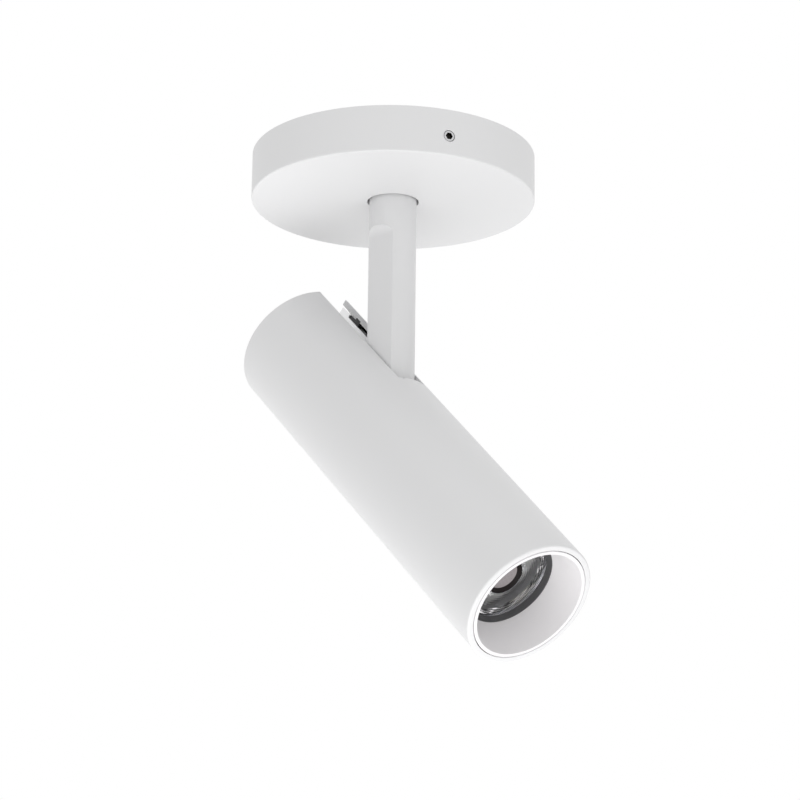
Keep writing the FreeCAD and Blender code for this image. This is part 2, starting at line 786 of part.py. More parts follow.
# ---------------------------------------------------------------- heat sink and light engine
def make_heat_sink():
    base_rear = sink_front - sink_base
    sink = tube_rod(slide_radius, base_rear, sink_front)
    envelope = tube_rod(slide_radius, flange_front + sink_tail_gap, base_rear)
    first = -(fin_count - 1) / 2 * fin_pitch
    for number in range(fin_count):
        y = first + number * fin_pitch
        fin = block(flange_front, base_rear, y - fin_thickness / 2, y + fin_thickness / 2,
                    -tube_drop - tube_radius, tube_radius)
        sink = sink.fuse(fin.common(envelope))
    for degrees in pillar_angles:
        foot = around_tube(pillar_circle, degrees, flange_front)
        sink = sink.fuse(rod(pillar_radius, base_rear - flange_front, foot, AHEAD))
    sink = sink.removeSplitter()
    for degrees in pillar_angles:
        foot = around_tube(pillar_circle, degrees, flange_front)
        sink = sink.cut(rod(m3_radius, m3_grip, foot, AHEAD))
    for centre in retainer_screw_places():
        sink = sink.cut(rod(m2_radius, sink_base / 2, centre + vec(-sink_base / 2, 0, 0), AHEAD))
    return sink.cut(lock_screw_rod(0)).cut(lead_way())


def retainer_screw_places():
    return [around_tube(retainer_screw_circle, degrees, sink_front) for degrees in (90.0, 270.0)]


def lead_way():
    """Cutter for the leads' way from the fins to the front of the retainer."""
    foot = around_tube(lead_hole_circle, 0.0, sink_front - sink_base)
    return rod(lead_hole_radius, sink_base + board_thickness + retainer_thickness, foot, AHEAD)


def make_led_board():
    board = tube_rod(board_radius, sink_front, board_front).cut(lead_way())
    for centre in retainer_screw_places():
        board = board.cut(rod(m2_radius, board_thickness, centre, AHEAD))
    return board


def make_led_emitter():
    half = emitter_side / 2
    top = board_front + emitter_thickness
    base = block(board_front, top, -half, half, -tube_drop - half, -tube_drop + half)
    return base.fuse(tube_rod(phosphor_radius, top, top + phosphor_thickness)).removeSplitter()


def make_led_retainer():
    front = board_front + retainer_thickness
    body = tube_rod(retainer_radius, board_front, front)
    window = tube_rod(retainer_window_radius, board_front, front)
    half = emitter_side / 2 + baffle_fit
    pocket = block(board_front, board_front + emitter_thickness + phosphor_thickness,
                   -half, half, -tube_drop - half, -tube_drop + half)
    body = body.cut(window).cut(pocket).cut(lead_way())
    for centre in retainer_screw_places():
        body = body.cut(rod(m2_radius, board_thickness + retainer_thickness, centre, AHEAD))
    return body


def make_retainer_screws():
    screws = []
    length = retainer_thickness + board_thickness + sink_base / 2
    for centre in retainer_screw_places():
        base = centre + vec(board_thickness + retainer_thickness + m2_head_height, 0, 0)
        screws.append(machine_screw(m2_radius, length, m2_head_radius, m2_head_height, base, vec(-1, 0, 0)))
    return group(screws)


# ---------------------------------------------------------------- optics
def lens_back():
    """Points of the lens's reflecting back, from its cylinder to its tail."""
    start = flange_back - lens_body_length
    tail = lens_face - lens_depth
    growth = lens_body_radius - lens_tail_radius
    points = []
    for step in range(lens_back_steps + 1):
        part = 1 - step / lens_back_steps
        points.append((tail + (start - tail) * part, lens_tail_radius + growth * part ** lens_back_power))
    return points


def make_lens():
    """Moulded collimator: shallow blind recess in front, cup for the emitter's light behind."""
    tail = lens_face - lens_depth
    cup_end = tail + lens_cup_depth
    front = [
        (lens_face - lens_recess_depth, 0), (lens_face - lens_recess_depth, lens_recess_floor),
        (lens_face, lens_recess_radius), (lens_face, spacer_radius), (flange_back, spacer_radius),
        (flange_back, lens_body_radius)]
    cup = [(tail, lens_cup_radius), (cup_end, lens_cup_radius * lens_cup_draft), (cup_end, 0)]
    return head_turned(front + lens_back() + cup)


def make_lens_spacer():
    """Sleeve that stands on the board and holds the lens's flange up against the holder."""
    return tube_rod(spacer_radius, board_front, flange_back).cut(
        tube_rod(spacer_radius - lens_spacer_wall, board_front, flange_back))


def make_lens_holder():
    """Black cone round the lens, with a plate in the tube and a skirt that stands on the board."""
    plate_back = holder_front - holder_thickness
    skirt = skirt_bore + holder_skirt_wall
    return head_turned([
        (lens_face, lens_window_radius), (holder_front, snoot_throat_radius), (holder_front, slide_radius),
        (plate_back, slide_radius), (plate_back, skirt), (board_front, skirt),
        (board_front, skirt_bore), (lens_face, skirt_bore)])


def snoot_cone_radius(depth):
    rim = bore_radius - snoot_fit - snoot_rim_width
    return rim - (rim - snoot_throat_radius) * depth / snoot_depth


def make_snoot():
    outer = bore_radius - snoot_fit
    edge = snoot_rim_width / 3
    band_end = front_rim - snoot_band
    snoot = head_turned([
        (front_rim - edge, snoot_cone_radius(edge)), (front_rim, snoot_cone_radius(0) + edge),
        (front_rim, outer - edge), (front_rim - edge, outer), (band_end, outer),
        (band_end, snoot_cone_radius(snoot_band) + snoot_wall),
        (throat, snoot_throat_radius + snoot_wall), (throat, snoot_throat_radius)])
    half = o_ring_section + running_clearance
    ring_x = front_rim - o_ring_depth
    floor = o_ring_radius() - o_ring_section
    groove = tube_rod(outer, ring_x - half, ring_x + half).cut(tube_rod(floor, ring_x - half, ring_x + half))
    return snoot.cut(groove)


def o_ring_radius():
    """Radius of the circle through the middle of the ring's section."""
    return bore_radius - running_clearance - o_ring_section


def make_snoot_o_ring():
    centre = vec(front_rim - o_ring_depth, 0, -tube_drop)
    return Part.makeTorus(o_ring_radius(), o_ring_section, centre, AHEAD)


# ---------------------------------------------------------------- all pieces
canopy_pieces = {
    "canopy_cover": make_canopy_cover,
    "ceiling_plate": make_ceiling_plate,
    "cable_grommet": make_cable_grommet,
    "cover_set_screws": make_cover_set_screws,
    "swivel_bush": make_swivel_bush,
    "thrust_washer": make_thrust_washer,
    "pan_stop_pin": make_pan_stop_pin,
    "driver_case": make_driver_case,
    "driver_lid": make_driver_lid,
    "driver_board": make_driver_board,
    "driver_screws": make_driver_screws,
    "terminal_block": make_terminal_block,
    "terminal_screws": make_terminal_screws,
    "terminal_fixing_screw": make_terminal_fixing_screw,
    "earth_screw": make_earth_screw,
    "earth_washer": make_earth_washer,
}

stem_pieces = {
    "stem": make_stem,
    "stop_disc": make_stop_disc,
    "swivel_spring": make_swivel_spring,
    "swivel_nut": make_swivel_nut,
    "lead_bush": make_lead_bush,
}

head_pieces = {
    "head_tube": make_head_tube,
    "hinge_bracket": make_hinge_bracket,
    "hinge_screw": make_hinge_screw,
    "friction_washers": make_friction_washers,
    "bracket_screws": make_bracket_screws,
    "rear_baffle": make_rear_baffle,
    "head_lock_screw": make_head_lock_screw,
    "heat_sink": make_heat_sink,
    "led_board": make_led_board,
    "led_emitter": make_led_emitter,
    "led_retainer": make_led_retainer,
    "retainer_screws": make_retainer_screws,
    "lens": make_lens,
    "lens_spacer": make_lens_spacer,
    "lens_holder": make_lens_holder,
    "snoot": make_snoot,
    "snoot_o_ring": make_snoot_o_ring,
}


def export(name, shape):
    shape.exportStep("parts/" + name + ".step")
    volumes = [round(solid.Volume, 1) for solid in shape.Solids]
    print(name, "solids", len(shape.Solids), "volumes", volumes, "valid", shape.isValid())


def main():
    os.makedirs("parts", exist_ok=True)
    for name, make in canopy_pieces.items():
        export(name, make())
    for name, make in stem_pieces.items():
        export(name, make())
    for name, make in head_pieces.items():
        export(name, place_head(make()))


main()
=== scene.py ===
"""Looks of a surface mounted ceiling spotlight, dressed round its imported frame.

Lengths in this file are millimetres until a mesh is made, when they become metres.
The head's pieces are drawn in the head frame: origin on the tilt axis, +X to the
light's front, +Z to the slotted side.
"""

import json
import logging
import math
from dataclasses import dataclass, field
from enum import Enum
from typing import Callable, Sequence

import bmesh
import bpy
from mathutils import Matrix, Vector


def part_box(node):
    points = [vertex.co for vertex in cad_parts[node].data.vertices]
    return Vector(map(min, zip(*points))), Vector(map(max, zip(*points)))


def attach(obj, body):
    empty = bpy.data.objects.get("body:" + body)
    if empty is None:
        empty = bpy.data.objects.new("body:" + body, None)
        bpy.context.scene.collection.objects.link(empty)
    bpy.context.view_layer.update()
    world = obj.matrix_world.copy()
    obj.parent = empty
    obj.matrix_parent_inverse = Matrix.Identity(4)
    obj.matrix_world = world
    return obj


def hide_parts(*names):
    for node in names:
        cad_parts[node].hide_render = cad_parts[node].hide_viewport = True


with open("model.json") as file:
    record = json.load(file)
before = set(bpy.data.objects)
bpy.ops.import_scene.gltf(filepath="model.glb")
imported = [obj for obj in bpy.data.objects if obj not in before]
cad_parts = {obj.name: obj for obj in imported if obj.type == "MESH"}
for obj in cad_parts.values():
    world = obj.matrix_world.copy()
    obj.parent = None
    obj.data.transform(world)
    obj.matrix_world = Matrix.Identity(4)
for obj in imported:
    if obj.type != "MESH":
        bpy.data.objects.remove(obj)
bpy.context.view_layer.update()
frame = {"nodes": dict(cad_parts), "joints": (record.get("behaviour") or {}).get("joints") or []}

MM = 0.001
LOG = logging.getLogger("spotlight")

Colour = tuple[float, float, float]
Pair = tuple[float, float]
Triple = tuple[float, float, float]
Ring = list[Vector]
Piece = bpy.types.Object
Mesh = bmesh.types.BMesh
Tree = bpy.types.NodeTree
Socket = bpy.types.NodeSocket
Material = bpy.types.Material
Term = float | Socket


class Body(Enum):
    """The rigid bodies that the pieces ride on."""

    CANOPY = "canopy"
    STEM = "stem"
    HEAD = "head"


class Axis(Enum):
    """The axes that round pieces are turned about."""

    STEM = "stem"
    TUBE = "tube"


# ------------------------------------------------------------------ the frame's sizes
REST_TILT = 45.0             # degrees of the head from straight down, at rest


def joint_anchor(name: str) -> Vector:
    """Place of a joint in the row frame.

    Args:
        name: the joint's name in the record.

    Returns:
        The joint's anchor in millimetres.
    """
    for joint in frame["joints"]:
        if joint["name"] == name:
            return Vector(joint["pos_m"]) / MM
    raise KeyError(name)


TILT_AXIS = joint_anchor("head_tilt")
HEAD_PLACE = Matrix.Translation(TILT_AXIS) @ Matrix.Rotation(math.radians(90.0 - REST_TILT), 4, "Y")


def row_box(node: str) -> tuple[Vector, Vector]:
    """Corners of a CAD node in the row frame, in millimetres.

    Args:
        node: the node's name.

    Returns:
        The lowest and the highest corner.
    """
    low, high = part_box(node)
    return low / MM, high / MM


def head_box(node: str) -> tuple[Vector, Vector]:
    """Corners of a CAD node in the head frame, in millimetres.

    Args:
        node: the name of a node of the head.

    Returns:
        The lowest and the highest corner along the head's own axes.
    """
    back = HEAD_PLACE.inverted()
    points = [back @ (vertex.co / MM) for vertex in frame["nodes"][node].data.vertices]
    low = Vector([min(point[axis] for point in points) for axis in range(3)])
    high = Vector([max(point[axis] for point in points) for axis in range(3)])
    return low, high


# ------------------------------------------------------------------ mesh making
POINT_GAP = 1e-5             # points nearer than this become one
THIN_EDGE = 1e-6             # shorter edges are taken out
WALL_GAP = 0.02              # how far a point may stand off a round wall and still be on it
WALL_FACING = 0.9            # least cosine between a wall's face and its spoke
SHARP = 32.0                 # degrees that an edge turns by to stay sharp
OVER = 1.0                   # how far a cutter stands past what it cuts


def polar(radius: float, degrees: float) -> Pair:
    """Turn a radius and an angle into two coordinates."""
    angle = math.radians(degrees)
    return radius * math.cos(angle), radius * math.sin(angle)


def rounded(corners: Sequence[Triple], steps: int = 5, hold: float = 0.25, closed: bool = True) -> list[Pair]:
    """Round the corners of a flat outline.

    Args:
        corners: (first, second, radius) of each corner, in order.
        steps: how many chords each rounded corner gets.
        hold: distance past each arc of the extra point that keeps the flat shaded flat.
        closed: whether the last corner joins the first.

    Returns:
        The outline's points.
    """
    count = len(corners)
    outline: list[Pair] = []
    for index, (first, second, radius) in enumerate(corners):
        here = Vector((first, second))
        if radius <= 0 or (not closed and index in (0, count - 1)):
            outline.append((first, second))
            continue
        before = Vector(corners[index - 1][:2]) - here
        after = Vector(corners[(index + 1) % count][:2]) - here
        rooms = (before.length, after.length)
        before.normalize()
        after.normalize()
        half = before.angle(after) / 2
        inset = radius / math.tan(half)
        middle = here + (before + after).normalized() * (radius / math.sin(half))
        start = here + before * inset - middle
        end = here + after * inset - middle
        turn = start.angle_signed(end)
        if rooms[0] > 2 * (inset + hold):
            outline.append(tuple(here + before * (inset + hold)))
        for step in range(steps + 1):
            spoke = start.copy()
            spoke.rotate(Matrix.Rotation(-turn * step / steps, 2))
            outline.append(tuple(middle + spoke))
        if rooms[1] > 2 * (inset + hold):
            outline.append(tuple(here + after * (inset + hold)))
    return outline


def finish_mesh(name: str, work: Mesh, place: Matrix, sharp: float = SHARP) -> Piece:
    """Turn a working mesh in millimetres into an object in metres.

    Args:
        name: the piece's name.
        work: the working mesh, which is freed.
        place: moves the mesh to its place in the row frame, in millimetres.
        sharp: edges that turn by more than this stay sharp.

    Returns:
        The new object.
    """
    bmesh.ops.remove_doubles(work, verts=work.verts, dist=POINT_GAP)
    bmesh.ops.dissolve_degenerate(work, edges=work.edges, dist=THIN_EDGE)
    bmesh.ops.recalc_face_normals(work, faces=work.faces)
    bmesh.ops.transform(work, matrix=Matrix.Scale(MM, 4) @ place, verts=work.verts)
    mesh = bpy.data.meshes.new(name)
    work.to_mesh(mesh)
    work.free()
    mesh.shade_smooth()
    mesh.set_sharp_from_angle(angle=math.radians(sharp))
    piece = bpy.data.objects.new(name, mesh)
    bpy.context.scene.collection.objects.link(piece)
    return piece


def skin(work: Mesh, rings: Sequence[Ring], round_again: bool = False) -> None:
    """Join closed rings of points with quads.

    Args:
        work: the mesh to add to.
        rings: rings with equally many points each.
        round_again: whether the last ring joins the first.
    """
    rows = [[work.verts.new(point) for point in ring] for ring in rings]
    pairs = list(zip(rows, rows[1:]))
    if round_again:
        pairs.append((rows[-1], rows[0]))
    for lower, upper in pairs:
        join_rings(work, lower, upper)


def join_rings(work: Mesh, lower: list, upper: list, first: int = 0) -> None:
    """Join two closed rings of vertices with quads.

    Args:
        work: the mesh to add to.
        lower: the first ring's vertices.
        upper: the second ring's vertices, as many.
        first: the column that the quads start from.
    """
    for index in range(first, len(lower)):
        after = (index + 1) % len(lower)
        work.faces.new((lower[index], lower[after], upper[after], upper[index]))


def upright_ring(radius: float, height: float, count: int) -> Ring:
    """Circle about the stem's axis."""
    angles = (2 * math.pi * index / count for index in range(count))
    return [Vector((radius * math.cos(angle), radius * math.sin(angle), height)) for angle in angles]


def tube_point(station: float, radius: float, degrees: float, drop: float) -> Vector:
    """Point about the tube's axis, with the angle from the slotted side towards +Y."""
    angle = math.radians(degrees)
    return Vector((station, radius * math.sin(angle), radius * math.cos(angle) - drop))


def tube_ring(station: float, radius: float, drop: float, count: int) -> Ring:
    """Circle about the tube's axis."""
    return [tube_point(station, radius, 360.0 * index / count, drop) for index in range(count)]


def cut_away(piece: Piece, cutter: Piece) -> None:
    """Take one mesh's volume out of another and delete the cutter.

    Args:
        piece: the object that loses the volume.
        cutter: the object that is taken out.
    """
    step = piece.modifiers.new("cut", "BOOLEAN")
    step.operation = "DIFFERENCE"
    step.solver = "EXACT"
    step.object = cutter
    bpy.context.view_layer.update()
    graph = bpy.context.evaluated_depsgraph_get()
    cut = bpy.data.meshes.new_from_object(piece.evaluated_get(graph))
    piece.modifiers.clear()
    piece.data = cut
    bpy.data.objects.remove(cutter)


def keep_round(piece: Piece, direction: Callable[[Vector], Vector], radius: float) -> None:
    """Shade a cut round wall as the true round, so that a cut leaves no trace in it.

    Args:
        piece: the object, whose mesh is in metres.
        direction: gives the outward vector from the wall's axis to a point, in metres.
        radius: the wall's radius in millimetres.
    """
    mesh = piece.data
    normals = [Vector((0.0, 0.0, 0.0)) for _ in mesh.loops]
    for face in mesh.polygons:
        spokes = [direction(mesh.vertices[index].co) for index in face.vertices]
        on_wall = all(abs(spoke.length - radius * MM) < WALL_GAP * MM for spoke in spokes)
        if on_wall and abs(face.normal.dot(spokes[0].normalized())) >= WALL_FACING:
            for loop, spoke in zip(face.loop_indices, spokes):
                normals[loop] = spoke.normalized()
    mesh.normals_split_custom_set(normals)


def soften(piece: Piece, width: float, segments: int, degrees: float) -> None:
    """Round a piece's sharp edges with a bevel.

    Args:
        piece: the object.
        width: the bevel's width in millimetres.
        segments: how many strips each bevel gets.
        degrees: edges that turn by more than this are rounded.
    """
    bevel = piece.modifiers.new("rounded_edges", "BEVEL")
    bevel.width = width * MM
    bevel.segments = segments
    bevel.limit_method = "ANGLE"
    bevel.angle_limit = math.radians(degrees)
    bevel.harden_normals = True
    bevel.miter_outer = "MITER_ARC"


def lathe(name: str, profile: Sequence[Pair], axis: Axis, count: int = 256, drop: float = 0.0,
          place: Matrix = Matrix.Identity(4)) -> Piece:
    """Turn a closed outline about the stem's or the tube's axis.

    Args:
        name: the piece's name.
        profile: closed outline of (radius, station) points.
        axis: what the outline is turned about.
        count: how many steps go round.
        drop: depth of the tube's axis below the tilt axis.
        place: moves the mesh to the row frame.

    Returns:
        The new object.
    """
    work = bmesh.new()
    if axis is Axis.STEM:
        rings = [upright_ring(radius, station, count) for radius, station in profile]
    else:
        rings = [tube_ring(station, radius, drop, count) for radius, station in profile]
    skin(work, rings, round_again=True)
    return finish_mesh(name, work, place)


def hole_cutter(radius: float, depth: float, chamfer: float, place: Matrix, count: int = 64) -> Piece:
    """Make a cutter for a chamfered round hole, drawn along Z towards the hole's mouth.

    Args:
        radius: the hole's radius.
        depth: from the cutter's foot to the surface that the hole opens in.
        chamfer: the chamfer's width.
        place: moves the cutter to its place in the row frame.
        count: how many steps go round.

    Returns:
        The cutter.
    """
    profile = [(0.0, 0.0), (radius, 0.0), (radius, depth - chamfer),
               (radius + chamfer + OVER, depth + OVER), (0.0, depth + OVER)]
    return lathe("hole_cutter", profile, Axis.STEM, count, place=place)


def hexagon_ring(flats: float, station: float, count: int) -> Ring:
    """Hexagon about the Z axis, with as many points as a circle.

    Args:
        flats: the distance across its flats.
        station: its height.
        count: how many points it has, a multiple of six.

    Returns:
        The hexagon's points, at the same angles as a circle's.
    """
    ring = []
    for index in range(count):
        angle = 2 * math.pi * index / count
        off = (angle + math.pi / 6) % (math.pi / 3) - math.pi / 6
        radius = flats / 2 / math.cos(off)
        ring.append(Vector((radius * math.cos(angle), radius * math.sin(angle), station)))
    return ring


# ------------------------------------------------------------------ shader groups
def feed(tree: Tree, socket: Socket, term: Term) -> None:
    """Join an input to an output, or set its number.

    Args:
        tree: the node tree.
        socket: the input.
        term: the output or the number.
    """
    if isinstance(term, Socket):
        tree.links.new(term, socket)
    else:
        socket.default_value = term


class Effect:
    """A shader node group that several finishes share: a height, a tone and a roughness."""

    def __init__(self, name: str, **numbers: float) -> None:
        """Make the group and its sockets.

        Args:
            name: the group's name.
            numbers: each number input and its default.
        """
        self.tree = bpy.data.node_groups.new(name, "ShaderNodeTree")
        for label, default in numbers.items():
            socket = self.tree.interface.new_socket(label, in_out="INPUT", socket_type="NodeSocketFloat")
            socket.default_value = default
        for label in ("Height", "Tone", "Roughness"):
            self.tree.interface.new_socket(label, in_out="OUTPUT", socket_type="NodeSocketFloat")
        self.source = self.tree.nodes.new("NodeGroupInput")
        self.sink = self.tree.nodes.new("NodeGroupOutput")

    def given(self, label: str) -> Socket:
        """Find one of the group's inputs."""
        return self.source.outputs[label]

    def give(self, **terms: Socket) -> None:
        """Join the group's outputs to what they give."""
        for label, term in terms.items():
            feed(self.tree, self.sink.inputs[label], term)

    def add(self, kind: str, terms: dict[object, Term], **settings: object) -> bpy.types.Node:
        """Add a node.

        Args:
            kind: Blender's name for the node.
            terms: a number or an output for each input, by its name or place.
            settings: the node's own settings.

        Returns:
            The node.
        """
        node = self.tree.nodes.new(kind)
        for key, value in settings.items():
            setattr(node, key, value)
        for key, term in terms.items():
            feed(self.tree, node.inputs[key], term)
        return node

    def place(self) -> Socket:
        """Add the place in object space."""
        return self.add("ShaderNodeTexCoord", {}).outputs["Object"]

    def noise(self, place: Socket, scale: Term, detail: float, rough: float = 0.5) -> Socket:
        """Add a noise texture.

        Args:
            place: where it is looked up.
            scale: how fine it is.
            detail: how many finer layers it has.
            rough: how strong the finer layers are.

        Returns:
            The texture's value.
        """
        terms = {"Vector": place, "Scale": scale, "Detail": detail, "Roughness": rough}
        return self.add("ShaderNodeTexNoise", terms).outputs["Fac"]

    def maths(self, operation: str, first: Term, second: Term) -> Socket:
        """Add a maths node and find its result."""
        return self.add("ShaderNodeMath", {0: first, 1: second}, operation=operation).outputs[0]

    def spread(self, value: Socket, low: Term, high: Term) -> Socket:
        """Map a value from 0..1 to low..high."""
        terms = {"Value": value, "To Min": low, "To Max": high}
        return self.add("ShaderNodeMapRange", terms).outputs["Result"]

    def sway(self, value: Socket, middle: Socket, reach: float) -> Socket:
        """Map a value from 0..1 to a reach either side of a middle."""
        return self.spread(value, self.maths("SUBTRACT", middle, reach), self.maths("ADD", middle, reach))


def make_coat_grain() -> Effect:
    """Make the sprayed coat: fine orange peel over a slow change of tone.

    Returns:
        The group, with inputs Grain, Tone and Gloss.
    """
    group = Effect("CoatGrain", Grain=1800.0, Tone=0.02, Gloss=0.4)
    peel = group.noise(group.place(), group.given("Grain"), 3.0)
    waves = group.noise(group.place(), 160.0, 2.0)
    drift = group.noise(group.place(), 14.0, 3.0, 0.6)
    dark = group.maths("SUBTRACT", 1.0, group.given("Tone"))
    group.give(
        Height=group.maths("ADD", peel, group.maths("MULTIPLY", waves, 1.6)),
        Tone=group.spread(drift, dark, 1.0),
        Roughness=group.sway(peel, group.given("Gloss"), 0.05))
    return group


def make_tool_marks() -> Effect:
    """Make the marks of machined or drawn metal: fine lines stretched along one axis.

    Returns:
        The group, with inputs Lines, Stretch and Gloss.
    """
    group = Effect("ToolMarks", Lines=900.0, Stretch=0.04, Gloss=0.3)
    fine = group.given("Lines")
    gloss = group.given("Gloss")
    along = group.maths("MULTIPLY", fine, group.given("Stretch"))
    scale = group.add("ShaderNodeCombineXYZ", {"X": along, "Y": fine, "Z": fine}).outputs["Vector"]
    place = group.add("ShaderNodeVectorMath", {0: group.place(), 1: scale}, operation="MULTIPLY")
    lines = group.noise(place.outputs["Vector"], 1.0, 4.0)
    smoother = group.maths("MULTIPLY", gloss, 0.7)
    rougher = group.maths("MULTIPLY", gloss, 1.4)
    group.give(Height=lines, Tone=group.spread(lines, 0.9, 1.05),
               Roughness=group.spread(lines, smoother, rougher))
    return group


def make_moulded_skin() -> Effect:
    """Make the skin of moulded plastic or rubber: fine spark texture and faint flow.

    Returns:
        The group, with inputs Spark and Gloss.
    """
    group = Effect("MouldedSkin", Spark=1400.0, Gloss=0.45)
    spark = group.noise(group.place(), group.given("Spark"), 2.0)
    flow = group.noise(group.place(), 40.0, 3.0)
    group.give(Height=spark, Tone=group.spread(flow, 0.9, 1.1),
               Roughness=group.sway(spark, group.given("Gloss"), 0.08))
    return group


# ------------------------------------------------------------------ finishes
class Recipe:
    """A material under construction: its node tree and its Principled shader."""

    def __init__(self, name: str) -> None:
        """Make an empty material with one Principled shader.

        Args:
            name: the material's name.
        """
        self.material = bpy.data.materials.new(name)
        self.material.use_nodes = True
        self.tree = self.material.node_tree
        self.shader = self.tree.nodes["Principled BSDF"]

    def put(self, socket: str, value: object) -> None:
        """Set a constant on one of the shader's own sockets."""
        self.shader.inputs[socket].default_value = value

    def bump(self, effect: Effect, distance: float, **numbers: float) -> bpy.types.Node:
        """Add a shared effect with this material's own values and feed the normal from it.

        Args:
            effect: the shader group.
            distance: the height of a full step, in millimetres.
            numbers: a value for each of the group's inputs, by its name.

        Returns:
            The group's node.
        """
        given = self.tree.nodes.new("ShaderNodeGroup")
        given.node_tree = effect.tree
        for label, value in numbers.items():
            given.inputs[label].default_value = value
        node = self.tree.nodes.new("ShaderNodeBump")
        node.inputs["Distance"].default_value = distance * MM
        self.tree.links.new(given.outputs["Height"], node.inputs["Height"])
        self.tree.links.new(node.outputs["Normal"], self.shader.inputs["Normal"])
        return given

    def cover(self, effect: Effect, colour: Colour, distance: float, **numbers: float) -> None:
        """Feed the colour, the roughness and the normal from a shared effect.

        Args:
            effect: the shader group.
            colour: the base colour, which the effect's tone changes over the surface.
            distance: the height of a full step, in millimetres.
            numbers: a value for each of the group's inputs, by its name.
        """
        given = self.bump(effect, distance, **numbers)
        node = self.tree.nodes.new("ShaderNodeVectorMath")
        node.operation = "SCALE"
        node.inputs[0].default_value = colour
        self.tree.links.new(given.outputs["Tone"], node.inputs["Scale"])
        self.tree.links.new(node.outputs["Vector"], self.shader.inputs["Base Color"])
        self.tree.links.new(given.outputs["Roughness"], self.shader.inputs["Roughness"])


@dataclass(frozen=True)
class Finish:
    """What every finish has: a name, a base colour, how rough it is and how deep its texture."""

    name: str
    colour: Colour
    gloss: float
    depth: float = field(default=0.012, kw_only=True)

    def numbers(self) -> dict[str, float]:
        """List the numbers that the shared effect takes besides the gloss."""
        return {}

    def constants(self) -> dict[str, float]:
        """List the shader's constants."""
        return {}

    def build(self, effect: Effect) -> Material:
        """Make the material from its shared effect.

        Args:
            effect: the shader group.

        Returns:
            The material.
        """
        recipe = Recipe(self.name)
        recipe.cover(effect, self.colour, self.depth, Gloss=self.gloss, **self.numbers())
        for socket, value in self.constants().items():
            recipe.put(socket, value)
        return recipe.material


@dataclass(frozen=True)
class PowderCoat(Finish):
    """White coat sprayed on metal."""

    grain: float
    drift: float = 0.015
    index: float = 1.5
    shine: float = 0.4

    def numbers(self) -> dict[str, float]:
        """List the coat's grain and its drift of tone."""
        return {"Grain": self.grain, "Tone": self.drift}

    def constants(self) -> dict[str, float]:
        """List the shader's constants."""
        return {"IOR": self.index, "Specular IOR Level": self.shine}


@dataclass(frozen=True)
class WorkedMetal(Finish):
    """Bare or plated metal with tool marks."""

    lines: float
    stretch: float
    depth: float = field(default=0.01, kw_only=True)

    def numbers(self) -> dict[str, float]:
        """List the tool marks' fineness and stretch."""
        return {"Lines": self.lines, "Stretch": self.stretch}

    def constants(self) -> dict[str, float]:
        """List the shader's constants."""
        return {"Metallic": 1.0}


@dataclass(frozen=True)
class Moulding(Finish):
    """Moulded plastic or rubber."""

    spark: float
    index: float = 1.48

    def numbers(self) -> dict[str, float]:
        """List the fineness of the spark texture."""
        return {"Spark": self.spark}

    def constants(self) -> dict[str, float]:
        """List the shader's constants."""
        return {"IOR": self.index}


@dataclass(frozen=True)
class ClearMoulding(Finish):
    """Clear optical plastic, with faint flow marks."""

    spark: float = 300.0
    index: float = 1.49

    def build(self, effect: Effect) -> Material:
        """Make the material, whose colour and roughness stay plain.

        Args:
            effect: the moulded skin's shader group.

        Returns:
            The material.
        """
        recipe = Recipe(self.name)
        recipe.bump(effect, self.depth, Spark=self.spark, Gloss=self.gloss)
        recipe.put("Base Color", (*self.colour, 1.0))
        recipe.put("Roughness", self.gloss)
        recipe.put("IOR", self.index)
        recipe.put("Transmission Weight", 1.0)
        return recipe.material


class Palette:
    """Every material of the light, by the record's slot name where it has one."""

    def __init__(self) -> None:
        """Build the shared effects once and each material from them."""
        coats = [
            PowderCoat("white_powder_coat", (0.78, 0.78, 0.785), 0.42, 1500.0, depth=0.006),
            PowderCoat("white_snoot", (0.87, 0.855, 0.865), 0.33, 1100.0, depth=0.003),
        ]
        metals = [
            WorkedMetal("machined_aluminium", (0.84, 0.84, 0.845), 0.4, 900.0, 0.04),
            # painted shade: a darker copy of the machined aluminium for the spacer deep inside the lens
            WorkedMetal("spacer_shaded_aluminium", (0.38, 0.38, 0.40), 0.35, 900.0, 0.04),
            WorkedMetal("zinc_plated_steel", (0.62, 0.63, 0.65), 0.3, 260.0, 0.6),
            WorkedMetal("stainless_screw", (0.55, 0.55, 0.56), 0.26, 1600.0, 0.5),
            # painted shade: near-black metal for the inside of the hex sockets
            WorkedMetal("socket_painted_shade", (0.03, 0.028, 0.026), 0.45, 1600.0, 0.5),
            WorkedMetal("brass_screw", (0.75, 0.56, 0.26), 0.25, 1600.0, 0.5),
        ]
        mouldings = [
            Moulding("black_plastic", (0.03, 0.03, 0.032), 0.45, 1400.0),
            # painted shade: near-black sheet for the dark wall of the lens's recess
            Moulding("recess_painted_shade", (0.012, 0.009, 0.009), 0.5, 1400.0, 1.22),
            Moulding("satin_black", (0.085, 0.085, 0.088), 0.4, 1400.0),
            Moulding("white_resist", (0.62, 0.62, 0.61), 0.4, 700.0),
            Moulding("white_plastic", (0.78, 0.78, 0.75), 0.42, 1200.0),
            Moulding("black_rubber", (0.02, 0.02, 0.02), 0.62, 900.0),
            Moulding("circuit_board", (0.02, 0.11, 0.05), 0.3, 600.0),
            Moulding("phosphor", (0.80, 0.76, 0.62), 0.35, 2400.0),
            Moulding("diffuser_film", (0.285, 0.26, 0.265), 0.3, 1800.0),
            ClearMoulding("clear_lens", (0.975, 0.975, 0.985), 0.04, depth=0.004),
        ]
        self.materials: dict[str, Material] = {}
        kinds = ((make_coat_grain(), coats), (make_tool_marks(), metals), (make_moulded_skin(), mouldings))
        for effect, finishes in kinds:
            for finish in finishes:
                self.materials[finish.name] = finish.build(effect)

    def paint(self, piece: Piece, name: str) -> None:
        """Give a piece one of the materials.

        Args:
            piece: the object to paint.
            name: the material's name, which is also its slot's where the record has one.
        """
        if piece.data.materials:
            piece.data.materials.clear()
        piece.data.materials.append(self.materials[name])


